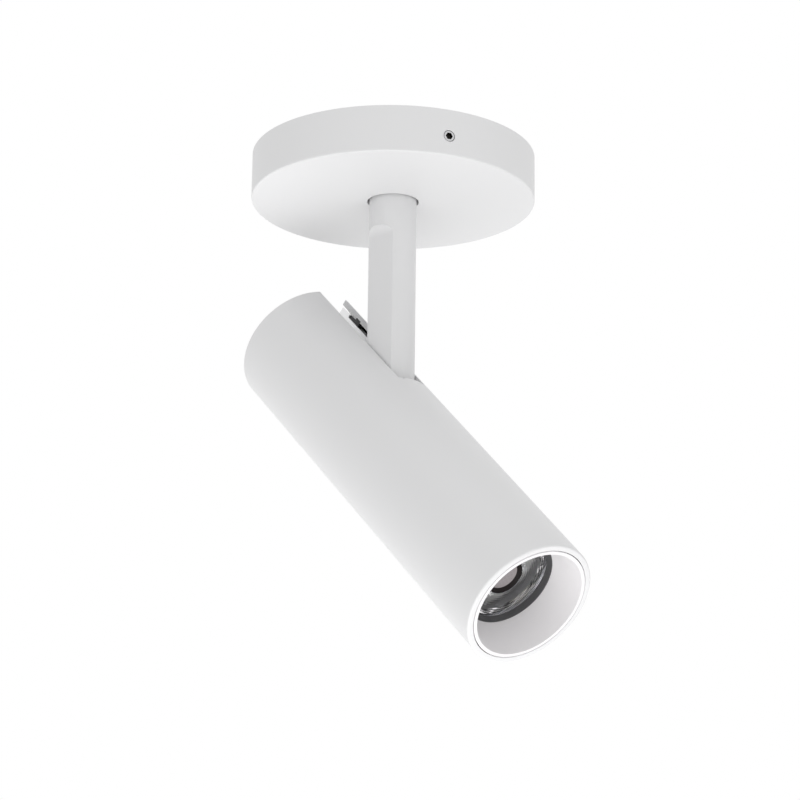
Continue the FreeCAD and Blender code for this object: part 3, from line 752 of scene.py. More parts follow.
def place_piece(piece: Piece, body: Body, slot: str, palette: Palette, *nodes: str) -> None:
    """Dress a new piece, set it on its body and let it stand for its CAD nodes.

    Args:
        piece: the new object.
        body: what it rides on.
        slot: the record's slot that it takes its finish from.
        palette: the materials.
        nodes: the CAD nodes that it replaces.
    """
    palette.paint(piece, slot)
    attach(piece, body.value)
    if nodes:
        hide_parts(*nodes)
    LOG.info("%s: %d faces on %s", piece.name, len(piece.data.polygons), body.value)


def place_screw(piece: Piece, body: Body, palette: Palette, node: str) -> None:
    """Place a socket screw and paint shade into its socket's inside.

    Args:
        piece: the screw.
        body: what it rides on.
        palette: the materials.
        node: the CAD node that it replaces.
    """
    place_piece(piece, body, "stainless_screw", palette, node)
    # second material: painted shade inside the socket
    piece.data.materials.append(palette.materials["socket_painted_shade"])


# ------------------------------------------------------------------ parts of several pieces
@dataclass(frozen=True)
class SocketScrew:
    """Headless screw with a hexagon socket, drawn along Z with its socket at the top."""

    radius: float
    length: float
    socket: float
    pitch: float = 0.5
    thread_share: float = 0.45
    chamfer_share: float = 0.14
    foot_share: float = 0.7
    foot_taper: float = 0.3
    mouth_share: float = 1.1
    mouth_depth: float = 0.07
    tip_depth: float = 0.2
    socket_depth: float = 0.9
    deepest: float = 0.7
    shade_share: float = 0.6
    count: int = 72
    sharp: float = 28.0

    def build(self, name: str, place: Matrix) -> Piece:
        """Turn the thread and sink the socket, whose inside takes the second material, a painted shade.

        Args:
            name: the piece's name.
            place: moves the screw to its place in the row frame.

        Returns:
            The new object.
        """
        chamfer = self.radius * self.chamfer_share
        floor = self.length - min(self.socket * self.socket_depth, self.length * self.deepest)
        tip = floor - self.socket * self.tip_depth
        rounds = [(0.0, 0.0), (self.radius * self.foot_share, 0.0)]
        level = self.radius * self.foot_taper
        while level < self.length - chamfer - self.pitch / 2:
            rounds.append((self.radius, level))
            rounds.append((self.radius - self.pitch * self.thread_share, level + self.pitch / 2))
            level += self.pitch
        rounds += [(self.radius, self.length - chamfer), (self.radius - chamfer, self.length)]
        hexagons = [(self.socket * self.mouth_share, self.length),
                    (self.socket, self.length - self.socket * self.mouth_depth), (self.socket, floor)]
        rings = [upright_ring(radius, height, self.count) for radius, height in rounds]
        rings += [hexagon_ring(flats, height, self.count) for flats, height in hexagons]
        rings.append(upright_ring(0.0, tip, self.count))
        work = bmesh.new()
        skin(work, rings)
        # faces deep in the socket take the painted shade
        for face in work.faces:
            middle = face.calc_center_median()
            if math.hypot(middle.x, middle.y) < self.socket * self.shade_share and middle.z > tip:
                face.material_index = 1
        return finish_mesh(name, work, place, self.sharp)


@dataclass(frozen=True)
class CadFinish:
    """Finish of a CAD node that keeps its own shape."""

    slot: str
    edge: float = 0.0
    weld: float = 0.001
    corner: float = 34.0

    def dress(self, node: str, palette: Palette) -> None:
        """Paint the node and round its edges.

        Args:
            node: the CAD node's name.
            palette: the materials.
        """
        piece = frame["nodes"][node]
        palette.paint(piece, self.slot)
        if self.edge > 0:
            weld = piece.modifiers.new("joined_faces", "WELD")
            weld.merge_threshold = self.weld * MM
            soften(piece, self.edge, segments=2, degrees=self.corner)
        LOG.info("%s: CAD shape in %s", node, self.slot)


def dress_nodes(finishes: dict[str, CadFinish], palette: Palette) -> None:
    """Finish the CAD nodes that keep their own shape."""
    for node, finish in finishes.items():
        finish.dress(node, palette)


# ------------------------------------------------------------------ canopy
@dataclass
class Canopy:
    """Round cover on the ceiling, its screws, and the pieces inside it."""

    wall: float = 2.5
    face: float = 2.0
    edge_round: float = 0.8
    rim_round: float = 0.2
    mouth_round: float = 0.25
    inner_round: float = 1.0
    boss_radius: float = 19.0
    boss_height: float = 4.0
    boss_round: Pair = (0.6, 0.4)
    entry_radius: float = 10.85
    entry_depth: float = 3.2
    bush_radius: float = 9.05
    screw_radius: float = 2.5
    screw_gap: float = 0.05
    screw_angles: Pair = (-22.5, 157.5)
    screw_depth: float = 11.5
    screw_recess: float = 0.4
    screw_socket: float = 2.5
    hole_chamfer: float = 0.3
    steps: int = 320

    def __post_init__(self) -> None:
        """Read the cover's outside from the frame."""
        low, high = row_box("canopy_cover")
        self.radius = high.x
        self.bottom = low.z
        self.rim = high.z
        self.plate_radius = row_box("ceiling_plate")[1].x

    def build_cover(self) -> Piece:
        """Turn the cover and cut its screw holes.

        Returns:
            The cover.
        """
        inner = self.radius - self.wall
        floor = self.bottom + self.face
        top = floor + self.boss_height
        seat = self.bottom + self.entry_depth
        foot_round, top_round = self.boss_round
        profile = rounded([
            (self.entry_radius, self.bottom, self.mouth_round), (self.radius, self.bottom, self.edge_round),
            (self.radius, self.rim, self.rim_round), (inner, self.rim, self.rim_round),
            (inner, floor, self.inner_round), (self.boss_radius, floor, foot_round),
            (self.boss_radius, top, top_round), (self.bush_radius, top, 0.0),
            (self.bush_radius, seat, 0.0), (self.entry_radius, seat, 0.0)])
        cover = lathe("cover", profile, Axis.STEM, self.steps)
        start = inner - OVER
        for degrees in self.screw_angles:
            place = self.screw_place(degrees, start)
            cut_away(cover, hole_cutter(self.screw_radius, self.radius - start, self.hole_chamfer, place))
        keep_round(cover, lambda point: Vector((point.x, point.y, 0.0)), self.radius)
        return cover

    def screw_place(self, degrees: float, distance: float) -> Matrix:
        """Frame whose Z runs outward along a set screw's axis.

        Args:
            degrees: the screw's angle round the canopy.
            distance: from the canopy's axis to the frame's origin.

        Returns:
            The frame's matrix in millimetres.
        """
        turn = Matrix.Rotation(math.radians(degrees), 4, "Z")
        shift = Matrix.Translation((distance, 0.0, -self.screw_depth))
        return turn @ shift @ Matrix.Rotation(math.radians(90.0), 4, "Y")

    def build_set_screw(self, number: int) -> Piece:
        """Make one of the screws that hold the cover.

        Args:
            number: the screw's place in screw_angles.

        Returns:
            The screw.
        """
        length = self.radius - self.screw_recess - self.plate_radius
        screw = SocketScrew(self.screw_radius - self.screw_gap, length, self.screw_socket)
        place = self.screw_place(self.screw_angles[number], self.plate_radius)
        return screw.build(f"cover_set_screw_{number + 1}", place)

    def dress(self, palette: Palette) -> None:
        """Place the cover and its screws and finish the pieces inside.

        Args:
            palette: the materials.
        """
        place_piece(self.build_cover(), Body.CANOPY, "white_powder_coat", palette, "canopy_cover")
        for number in range(len(self.screw_angles)):
            place_screw(self.build_set_screw(number), Body.CANOPY, palette, "cover_set_screws")
        dress_nodes({
            "ceiling_plate": CadFinish("zinc_plated_steel", 0.2),
            "cable_grommet": CadFinish("black_rubber", 0.4),
            "swivel_bush": CadFinish("black_plastic"),
            "thrust_washer": CadFinish("zinc_plated_steel", 0.15),
            "pan_stop_pin": CadFinish("zinc_plated_steel", 0.2),
            "driver_case": CadFinish("white_plastic", 0.4),
            "driver_lid": CadFinish("white_plastic", 0.4),
            "driver_board": CadFinish("circuit_board"),
            "driver_screws": CadFinish("zinc_plated_steel", 0.15),
            "terminal_block": CadFinish("white_plastic", 0.3),
            "terminal_screws": CadFinish("brass_screw", 0.1),
            "terminal_fixing_screw": CadFinish("zinc_plated_steel", 0.1),
            "earth_screw": CadFinish("brass_screw", 0.15),
            "earth_washer": CadFinish("zinc_plated_steel", 0.1),
        }, palette)


# ------------------------------------------------------------------ stem
@dataclass
class Stem:
    """Round stem with two milled flats, the head's knuckle at its foot and the swivel's spigot on top."""

    radius: float = 10.0
    across_flats: float = 14.0
    flats_top: float = -33.2
    runout_radius: float = 4.2
    spigot_radius: float = 7.0
    spigot_flat: float = 6.0
    spigot_hold: float = 0.4
    key_bottom: float = -13.2
    shoulder: float = -18.05
    shoulder_chamfer: float = 0.3
    bore: float = 3.6
    bore_chamfer: float = 0.3
    hinge_hole: float = 2.05
    edge: float = 0.22
    steps: int = 40
    flat_steps: int = 8
    foot_steps: int = 15
    runout_steps: int = 12

    def __post_init__(self) -> None:
        """Read the stem's ends from the frame."""
        low, high = row_box("stem")
        self.foot = low.z
        self.top = high.z
        self.axis = TILT_AXIS.z

    def section(self, height: float, reach_x: float, reach_y: float) -> Ring:
        """Draw a circle cut off by two flats in Y, and by the knuckle's round in X.

        Args:
            height: the section's level.
            reach_x: how far the section goes in X.
            reach_y: how far the section goes in Y.

        Returns:
            The section's points, as many for every reach.
        """
        half = math.asin(min(1.0, reach_y / self.radius))
        edge_x = min(self.radius * math.cos(half), reach_x)
        ring = []
        for side in (1.0, -1.0):
            for step in range(self.steps + 1):
                angle = -half + 2 * half * step / self.steps
                across = min(self.radius * math.cos(angle), reach_x)
                ring.append(Vector((side * across, side * self.radius * math.sin(angle), height)))
            for step in range(1, self.flat_steps):
                across = edge_x * (1 - 2 * step / self.flat_steps)
                ring.append(Vector((side * across, side * reach_y, height)))
        return ring

    def spigot_section(self, height: float, keyed: bool) -> Ring:
        """Draw the spigot's circle, with its flat where it is keyed.

        Args:
            height: the section's level.
            keyed: whether it has the flat.

        Returns:
            As many points as the stem's own sections have.
        """
        scale = self.spigot_radius / self.radius
        flat = -self.spigot_flat if keyed else -self.spigot_radius
        ring = self.section(height, self.radius, self.radius)
        return [Vector((max(point.x * scale, flat), point.y * scale, height)) for point in ring]

    def build_shaft(self) -> Piece:
        """Make the stem in rows from its foot to the spigot's top.

        Returns:
            The stem, bored and with its edges rounded.
        """
        half_flats = self.across_flats / 2
        rows = []
        for step in range(self.foot_steps):
            reach, depth = polar(self.radius, 90.0 * (1 - step / self.foot_steps))
            rows.append(self.section(self.axis - depth, reach, half_flats))
        turn = math.acos(1.0 - (self.radius - half_flats) / self.runout_radius)
        start = self.flats_top - self.runout_radius * math.sin(turn)
        rows.append(self.section(self.axis, self.radius, half_flats))
        rows.append(self.section(start, self.radius, half_flats))
        for step in range(1, self.runout_steps + 1):
            angle = turn * step / self.runout_steps
            reach = half_flats + self.runout_radius * (1 - math.cos(angle))
            rows.append(self.section(start + self.runout_radius * math.sin(angle), self.radius, reach))
        narrow = self.radius - self.shoulder_chamfer
        rows.append(self.section(self.shoulder - self.shoulder_chamfer, self.radius, self.radius))
        rows.append(self.section(self.shoulder, narrow, narrow))
        levels = ((self.shoulder, False), (self.key_bottom, False), (self.key_bottom, True),
                  (self.top - self.spigot_hold, True), (self.top, True))
        rows += [self.spigot_section(height, keyed) for height, keyed in levels]
        rows.append([Vector((0.0, 0.0, self.top))] * len(rows[0]))
        work = bmesh.new()
        skin(work, rows)
        shaft = finish_mesh("stem_shaft", work, Matrix.Identity(4))
        start = self.foot - OVER
        place = Matrix.Translation((0.0, 0.0, start))
        cut_away(shaft, hole_cutter(self.bore, self.top - start, self.bore_chamfer, place))
        cut_away(shaft, self.hinge_cutter())
        soften(shaft, self.edge, segments=3, degrees=30.0)
        return shaft

    def hinge_cutter(self) -> Piece:
        """Make the cutter for the hinge screw's hole across the flats.

        Returns:
            The cutter.
        """
        half = self.across_flats / 2 + OVER
        profile = [(0.0, -half), (self.hinge_hole, -half), (self.hinge_hole, half), (0.0, half)]
        place = Matrix.Translation(TILT_AXIS) @ Matrix.Rotation(math.radians(90.0), 4, "X")
        return lathe("hinge_cutter", profile, Axis.STEM, 48, place=place)

    def dress(self, palette: Palette) -> None:
        """Place the stem and finish the swivel's pieces on its top.

        Args:
            palette: the materials.
        """
        place_piece(self.build_shaft(), Body.STEM, "white_powder_coat", palette, "stem")
        dress_nodes({
            "stop_disc": CadFinish("zinc_plated_steel", 0.15),
            "swivel_spring": CadFinish("zinc_plated_steel"),
            "swivel_nut": CadFinish("zinc_plated_steel", 0.4),
            "lead_bush": CadFinish("black_plastic", 0.15),
        }, palette)


# ------------------------------------------------------------------ head
@dataclass
class Tube:
    """The head's tube with its slot, in rows along the tube and columns round it."""

    radius: float = 28.0
    wall: float = 2.5
    drop: float = 19.5
    half_slot: float = 7.6
    slot_end: float = 10.3
    slot_corner: float = 1.2
    slot_round: float = 0.3
    rim_round: float = 0.9
    rim_hold: float = 2.0
    rear_round: float = 0.5
    mouth: tuple[Pair, ...] = ((0.5, 0.0), (0.15, 0.05), (0.0, 0.2))
    groove: float = 0.7
    groove_rear: float = -46.3
    groove_front: float = -42.8
    mid_station: float = -20.0
    margin: float = 0.8
    across: int = 16
    around: int = 220
    corner_steps: int = 6
    rim_steps: int = 8
    hole_radius: float = 1.5
    hole_chamfer: float = 0.2
    lock_radius: float = 1.45
    lock_socket: float = 1.5
    lock_recess: float = 0.65
    sink_gap: float = 0.3
    lock_grip: float = 3.0

    def __post_init__(self) -> None:
        """Read the tube's ends from the frame."""
        low, high = head_box("head_tube")
        self.rear = low.x
        self.front = high.x
        self.bore = self.radius - self.wall

    def slot_reach(self, station: float) -> float:
        """Find the slot's half width, which is less where its corners round off.

        Args:
            station: the place along the tube.

        Returns:
            The half width.
        """
        past = station - (self.slot_end - self.slot_corner)
        if past <= 0:
            return self.half_slot
        return self.half_slot - self.slot_corner + math.sqrt(max(0.0, self.slot_corner ** 2 - past ** 2))

    def wall_row(self, station: float, radius: float) -> Ring:
        """Draw one row of the tube's wall.

        Args:
            station: the row's place along the tube.
            radius: the wall's radius there.

        Returns:
            The row's points, first across the slot and then round the wall.
        """
        reach = self.slot_reach(min(station, self.slot_end))
        half = math.degrees(math.asin(reach / radius))
        edge = math.degrees(math.asin((self.half_slot + self.margin) / radius))
        angles = [-half + 2 * half * step / self.across for step in range(self.across + 1)]
        angles += [edge + (360.0 - 2 * edge) * step / self.around for step in range(self.around + 1)]
        return [tube_point(station, radius, angle, self.drop) for angle in angles]

    def slot_stations(self) -> list[float]:
        """List the stations of the slot's rounded corner and of the first row past it.

        Returns:
            The stations, from rear to front.
        """
        start = self.slot_end - self.slot_corner
        stations = [start + polar(self.slot_corner, 90.0 * step / self.corner_steps)[1]
                    for step in range(self.corner_steps + 1)]
        return [*stations, self.slot_end + self.margin]

    def outer_rows(self) -> list[Pair]:
        """List the rows of the tube's outside.

        Returns:
            Their stations and radii, from rear to front.
        """
        stations = [self.rear, self.rear + self.margin, self.mid_station, *self.slot_stations(),
                    self.front - self.rim_hold]
        rows = [(station, self.radius) for station in stations]
        for step in range(self.rim_steps + 1):
            ahead, out = polar(self.rim_round, 90.0 - 90.0 * step / self.rim_steps)
            rows.append((self.front - self.rim_round + ahead, self.radius - self.rim_round + out))
        return rows

    def inner_rows(self) -> list[Pair]:
        """List the rows of the tube's inside.

        Returns:
            Their stations and radii, from rear to front.
        """
        deep = self.bore + self.groove
        rows = [(self.rear, self.bore), (self.rear + self.margin, self.bore), (self.groove_rear, self.bore),
                (self.groove_rear, deep), (self.groove_front, deep), (self.groove_front, self.bore)]
        rows += [(station, self.bore) for station in (self.mid_station, *self.slot_stations())]
        rows += [(self.front - depth, self.bore + widening) for depth, widening in self.mouth]
        return rows

    def build(self) -> Piece:
        """Make the tube with its slot, all of quads that follow the slot's edge.

        Returns:
            The tube, with its lock hole cut and its edges rounded.
        """
        work = bmesh.new()
        walls = []
        for rows in (self.outer_rows(), self.inner_rows()):
            rings = [[work.verts.new(point) for point in self.wall_row(*row)] for row in rows]
            slotted = [row[0] <= self.slot_end + POINT_GAP for row in rows]
            for lower, upper, open_slot in zip(rings, rings[1:], slotted[1:]):
                join_rings(work, lower, upper, self.across if open_slot else 0)
            walls.append((rings, [ring for ring, beside in zip(rings, slotted) if beside]))
        (outer, outside), (inner, inside) = walls
        self.close_slot(work, outside, inside)
        join_rings(work, outer[-1], inner[-1])
        join_rings(work, outer[0], inner[0], self.across)
        self.mark_soft_edges(work)
        tube = finish_mesh("tube", work, HEAD_PLACE)
        start = self.bore - 2 * OVER
        place = self.lock_place(start)
        cut_away(tube, hole_cutter(self.hole_radius, self.radius - start, self.hole_chamfer, place, 48))
        keep_round(tube, self.outward, self.radius)
        bevel = tube.modifiers.new("rounded_edges", "BEVEL")
        bevel.width = self.rear_round * MM
        bevel.segments = 4
        bevel.limit_method = "WEIGHT"
        bevel.harden_normals = True
        bevel.use_clamp_overlap = False
        return tube

    def close_slot(self, work: Mesh, outside: list, inside: list) -> None:
        """Add the slot's two cut faces and its end face.

        Args:
            work: the tube's mesh.
            outside: the outside's rings beside the slot.
            inside: the inside's rings beside the slot.
        """
        count = len(outside)
        corner = self.corner_steps
        for column in (0, self.across):
            loop = [ring[column] for ring in outside] + [ring[column] for ring in reversed(inside)]
            work.faces.new(loop[:count - corner] + loop[count + corner:])
            for step in range(corner):
                first = count - 1 - step
                second = count + step
                work.faces.new((loop[first - 1], loop[first], loop[second], loop[second + 1]))
        near, far = outside[-1], inside[-1]
        for index in range(self.across):
            work.faces.new((near[index], near[index + 1], far[index + 1], far[index]))

    def mark_soft_edges(self, work: Mesh) -> None:
        """Weight the edges that the bevel rounds: the slot's outline and the rear rim.

        Args:
            work: the tube's mesh.
        """
        plain = math.radians(40.0)
        near = 2.0
        short = 1.0
        groove = (self.groove_rear - near, self.groove_front + near)
        work.normal_update()
        layer = work.edges.layers.float.new("bevel_weight_edge")
        for edge in work.edges:
            if len(edge.link_faces) != 2 or edge.calc_face_angle() < plain:
                continue
            stations = [vertex.co.x for vertex in edge.verts]
            in_groove = any(groove[0] < station < groove[1] for station in stations)
            at_front = min(stations) > self.slot_end + near
            radial = abs((edge.verts[0].co - edge.verts[1].co).z) > short
            if in_groove and min(vertex.co.z for vertex in edge.verts) < self.bore - self.drop:
                continue
            if at_front or (radial and stations[0] > self.rear + short):
                continue
            at_rear = max(stations) < self.rear + WALL_GAP
            edge[layer] = 1.0 if at_rear and not radial else self.slot_round / self.rear_round

    def outward(self, point: Vector) -> Vector:
        """Find the way out from the tube's axis to a point on its wall.

        Args:
            point: the point in the row frame, in metres.

        Returns:
            The vector in metres, which is nothing near the tube's rounded ends.
        """
        spot = HEAD_PLACE.inverted() @ (point / MM)
        if not self.rear + self.margin / 2 < spot.x < self.front - (self.rim_round + self.rim_hold) / 2:
            return Vector((0.0, 0.0, 0.0))
        return HEAD_PLACE.to_3x3() @ Vector((0.0, spot.y, spot.z + self.drop)) * MM

    def lock_place(self, distance: float) -> Matrix:
        """Frame whose Z runs outward along the lock screw.

        Args:
            distance: from the tube's axis to the frame's origin.

        Returns:
            The frame's matrix in the row frame.
        """
        middle = (head_box("head_lock_screw")[0] + head_box("head_lock_screw")[1]) / 2
        outward = Vector((0.0, middle.y, middle.z + self.drop)).normalized()
        start = Vector((middle.x, 0.0, -self.drop)) + outward * distance
        return HEAD_PLACE @ Matrix.Translation(start) @ outward.to_track_quat("Z", "Y").to_matrix().to_4x4()

    def build_lock_screw(self) -> Piece:
        """Make the screw that holds the heat sink in the tube.

        Returns:
            The screw.
        """
        inner = self.bore - self.sink_gap - self.lock_grip
        screw = SocketScrew(self.lock_radius, self.radius - self.lock_recess - inner, self.lock_socket)
        return screw.build("head_lock_screw_body", self.lock_place(inner))


@dataclass
class Optics:
    """The snoot, the lens holder, and the lens with its recess."""

    tube: Tube
    snoot_radius: float = 25.22
    snoot_rim: float = 1.4
    snoot_depth: float = 15.5
    snoot_wall: float = 1.3
    snoot_band: float = 8.0
    ring_depth: float = 5.0
    ring_half: float = 0.75
    ring_radius: float = 24.05
    throat_radius: float = 19.7
    holder_lip: float = 0.9
    holder_thickness: float = 1.5
    holder_gap: float = 0.3
    holder_overlap: float = 0.02
    skirt_bore: float = 19.5
    skirt_wall: float = 1.4
    skirt_round: float = 0.3
    lens_fit: float = 0.15
    flange_thickness: float = 1.7
    body_radius: float = 18.3
    body_length: float = 5.3
    body_shares: tuple[float, ...] = (0.05, 0.3, 0.6, 0.9, 1.0)
    tail_radius: float = 12.3
    back_power: float = 1.4
    back_steps: int = 14
    cup_radius: float = 4.4
    cup_depth: float = 5.0
    cup_draft: float = 0.8
    recess_radius: float = 8.0
    recess_floor: float = 6.4
    recess_depth: float = 1.4
    # the sheet of painted shade on the recess's wall
    shade_sheet_gap: float = 0.05
    shade_sheet_top: Pair = (0.1, 0.3)
    shade_sheet_foot: Pair = (0.03, 0.2)
    rib_margin: float = 0.3
    rib_pitch: float = 0.97
    rib_height: float = 0.038
    rib_flatness: int = 6
    rib_steps: int = 8
    film_pitch: float = 0.75
    film_rise: float = 0.16
    film_lift: float = 0.06
    film_margin: float = 0.2
    film_steps: int = 96
    film_sharp: float = 60.0
    dome_shoulder: Pair = (0.55, 0.72)
    dome_foot: Pair = (0.97, 0.02)
    fine_round: float = 0.15
    edge_round: float = 0.2

    def __post_init__(self) -> None:
        """Read the optics' ends from the frame."""
        self.front = self.tube.front
        self.holder_low, self.holder_high = head_box("lens_holder")
        lens_low, lens_high = head_box("lens")
        self.tail = lens_low.x
        self.face = lens_high.x
        self.floor = self.face - self.recess_depth
        self.lip_radius = self.throat_radius - self.holder_lip

    def turned(self, name: str, outline: Sequence[Pair], count: int = 256) -> Piece:
        """Turn an outline about the tube's axis.

        Args:
            name: the piece's name.
            outline: closed outline of (station, radius) points.
            count: how many steps go round.

        Returns:
            The new object.
        """
        profile = [(radius, station) for station, radius in outline]
        return lathe(name, profile, Axis.TUBE, count, self.tube.drop, HEAD_PLACE)

    def cone_radius(self, depth: float) -> float:
        """Find the radius of the snoot's white cone at a depth behind the front rim."""
        rim = self.snoot_radius - self.snoot_rim
        return rim - (rim - self.throat_radius) * depth / self.snoot_depth

    def build_snoot(self) -> Piece:
        """Turn the white snoot with its flat rim, its cone and its groove for the rubber ring.

        Returns:
            The snoot.
        """
        band = self.front - self.snoot_band
        ring = self.front - self.ring_depth
        back = self.front - self.snoot_depth
        throat = self.throat_radius
        fine, edge, outside = self.fine_round, self.edge_round, self.snoot_radius
        outline = [
            (self.front, self.cone_radius(0.0), fine), (self.front, outside, fine),
            (ring + self.ring_half, outside, 0.0), (ring + self.ring_half, self.ring_radius, 0.0),
            (ring - self.ring_half, self.ring_radius, 0.0), (ring - self.ring_half, outside, 0.0),
            (band, outside, edge), (band, self.cone_radius(self.snoot_band) + self.snoot_wall, 0.0),
            (back, throat + self.snoot_wall, edge), (back, throat, fine)]
        return self.turned("snoot_cone", rounded(outline, steps=4), count=320)

    def build_holder(self) -> Piece:
        """Turn the black cone round the lens, with its plate and its skirt.

        Returns:
            The holder.
        """
        front = self.holder_high.x
        back = front - self.holder_thickness
        foot = self.holder_low.x
        skirt = self.skirt_bore + self.skirt_wall
        plate = self.tube.bore - self.holder_gap
        fine, edge = self.fine_round, self.edge_round
        outline = [
            (self.face, self.lip_radius, fine), (front, self.throat_radius + self.holder_overlap, fine),
            (front, plate, edge), (back, plate, edge), (back, skirt, self.skirt_round), (foot, skirt, edge),
            (foot, self.skirt_bore, edge), (self.face, self.skirt_bore, 0.0)]
        return self.turned("lens_ring", rounded(outline, steps=4))

    def rib_rows(self) -> list[Pair]:
        """List the stations and radii of the round ribs between the lens's recess and its holder.

        Returns:
            As many rows to each rib, from the recess outward.
        """
        start = self.recess_radius + self.rib_margin
        reach = self.lip_radius - start
        ribs = round(reach / self.rib_pitch)
        rows = []
        for row in range(ribs * self.rib_steps):
            share = row % self.rib_steps / self.rib_steps
            sunk = (2.0 * share - 1.0) ** self.rib_flatness
            rows.append((self.face - self.rib_height * sunk, start + reach * row / self.rib_steps / ribs))
        return rows

    def back_rows(self, shoulder: float) -> list[Pair]:
        """List the rows of the lens's back: a cylinder, then a curve that narrows to the tail.

        Args:
            shoulder: the station of the flange's back.

        Returns:
            Stations and radii, which keep the smooth shading true on the cylinder.
        """
        rows = [(shoulder - self.body_length * share, self.body_radius) for share in self.body_shares]
        start = shoulder - self.body_length
        for step in range(1, self.back_steps):
            share = 1.0 - step / self.back_steps
            swell = (self.body_radius - self.tail_radius) * share ** self.back_power
            rows.append((self.tail + (start - self.tail) * share, self.tail_radius + swell))
        return rows

    def build_lens(self) -> Piece:
        """Turn the clear lens, its face pressed with fine round ribs.

        Returns:
            The lens.
        """
        face, tail, fine, edge = self.face, self.tail, self.fine_round, self.edge_round
        shoulder = face - self.flange_thickness
        flange = self.skirt_bore - self.lens_fit
        cup_end = tail + self.cup_depth
        outline = rounded([
            (self.floor, 0.0, 0.0), (self.floor, self.recess_floor, 0.1), (face, self.recess_radius, fine),
            (face, self.recess_radius + self.rib_margin, 0.0)], closed=False)
        outline += self.rib_rows()
        outline += rounded([
            (face, self.lip_radius, 0.0), (face, flange, edge), (shoulder, flange, edge),
            (shoulder, self.body_radius, 0.0)], closed=False)
        outline += self.back_rows(shoulder)
        outline += rounded([
            (tail, self.tail_radius, fine), (tail, self.cup_radius, edge),
            (cup_end, self.cup_radius * self.cup_draft, edge), (cup_end, 0.0, 0.0)], closed=False)
        return self.turned("lens_body", outline, count=288)

    def build_recess_shade_sheet(self) -> Piece:
        """Turn a dark sheet of painted shade over the sloping wall of the lens's recess.

        Returns:
            The sheet of painted shade.
        """
        top = self.face - self.shade_sheet_gap
        foot = self.floor + self.shade_sheet_gap
        outline = [
            (foot, self.recess_floor - self.shade_sheet_foot[0], 0.0),
            (top, self.recess_radius - self.shade_sheet_top[0], 0.03),
            (top, self.recess_radius - self.shade_sheet_top[1], 0.05),
            (foot, self.recess_floor - self.shade_sheet_foot[1], 0.0)]
        return self.turned("recess_shade_sheet", rounded(outline, steps=3), count=192)

    def build_recess_film(self) -> Piece:
        """Make the film on the recess's floor, pressed with small six-sided domes.

        Returns:
            The film.
        """
        level = self.floor + self.film_lift
        reach = self.recess_floor - self.film_margin
        cell = self.film_pitch / math.sqrt(3)
        rows = math.ceil(reach / (1.5 * cell))
        work = bmesh.new()
        for row in range(-rows, rows + 1):
            for column in range(-rows - 2, rows + 3):
                middle = ((column + (row % 2) / 2) * self.film_pitch, row * 1.5 * cell)
                if math.hypot(*middle) < reach - cell:
                    self.add_dome(work, middle, cell, level)
        work.faces.new([work.verts.new(point) for point in
                        tube_ring(level, reach, self.tube.drop, self.film_steps)])
        return finish_mesh("recess_film", work, HEAD_PLACE, self.film_sharp)

    def add_dome(self, work: Mesh, middle: Pair, cell: float, level: float) -> None:
        """Add one six-sided dome to the film.

        Args:
            work: the film's mesh.
            middle: the dome's place across the film.
            cell: from the dome's middle to its corners.
            level: the film's station along the tube.
        """
        def spot(share: float, corner: int, lift: float) -> bmesh.types.BMVert:
            """Add a corner of the dome."""
            across, up = polar(cell * share, 60.0 * corner + 30.0)
            return work.verts.new((level + lift, middle[0] + across, middle[1] + up - self.tube.drop))

        reach, height = self.dome_shoulder
        end, edge = self.dome_foot
        top = spot(0.0, 0, self.film_rise)
        shoulder = [spot(reach, corner, self.film_rise * height) for corner in range(6)]
        foot = [spot(end, corner, edge) for corner in range(6)]
        for corner in range(6):
            after = (corner + 1) % 6
            work.faces.new((top, shoulder[corner], shoulder[after]))
            work.faces.new((shoulder[corner], foot[corner], foot[after], shoulder[after]))


@dataclass
class Head:
    """Tube with its slot, the tilt hinge, the heat sink and the optics."""

    tube: Tube
    optics: Optics

    def dress(self, palette: Palette) -> None:
        """Place the head's new pieces and finish the rest.

        Args:
            palette: the materials.
        """
        optics = self.optics
        place_piece(self.tube.build(), Body.HEAD, "white_powder_coat", palette, "head_tube")
        place_piece(optics.build_snoot(), Body.HEAD, "white_snoot", palette, "snoot")
        place_piece(optics.build_holder(), Body.HEAD, "satin_black", palette, "lens_holder")
        place_piece(optics.build_lens(), Body.HEAD, "clear_lens", palette, "lens")
        trims = (
            # the recess's dark sheet is painted shade
            (optics.build_recess_shade_sheet(), "black_plastic", "recess_painted_shade"),
            (optics.build_recess_film(), "clear_lens", "diffuser_film"))
        for piece, slot, finish in trims:
            place_piece(piece, Body.HEAD, slot, palette)
            palette.paint(piece, finish)
        place_screw(self.tube.build_lock_screw(), Body.HEAD, palette, "head_lock_screw")
        dress_nodes({
            "hinge_bracket": CadFinish("machined_aluminium", 0.25),
            "hinge_screw": CadFinish("stainless_screw", 0.2),
            "friction_washers": CadFinish("black_plastic", 0.1),
            "bracket_screws": CadFinish("zinc_plated_steel", 0.15),
            "rear_baffle": CadFinish("black_plastic", 0.2),
            "heat_sink": CadFinish("machined_aluminium"),
            "led_board": CadFinish("white_resist"),
            "led_emitter": CadFinish("phosphor"),
            "led_retainer": CadFinish("white_plastic"),
            "retainer_screws": CadFinish("zinc_plated_steel"),
            "lens_spacer": CadFinish("machined_aluminium"),
            "snoot_o_ring": CadFinish("black_rubber"),
        }, palette)
        # the spacer takes the darker copy of aluminium, a painted shade
        palette.paint(frame["nodes"]["lens_spacer"], "spacer_shaded_aluminium")


# ------------------------------------------------------------------ studio
@dataclass(frozen=True)
class Lamp:
    """Square soft lamp: its place and size in metres and its power in watts."""

    name: str
    place: Triple
    size: float
    power: float


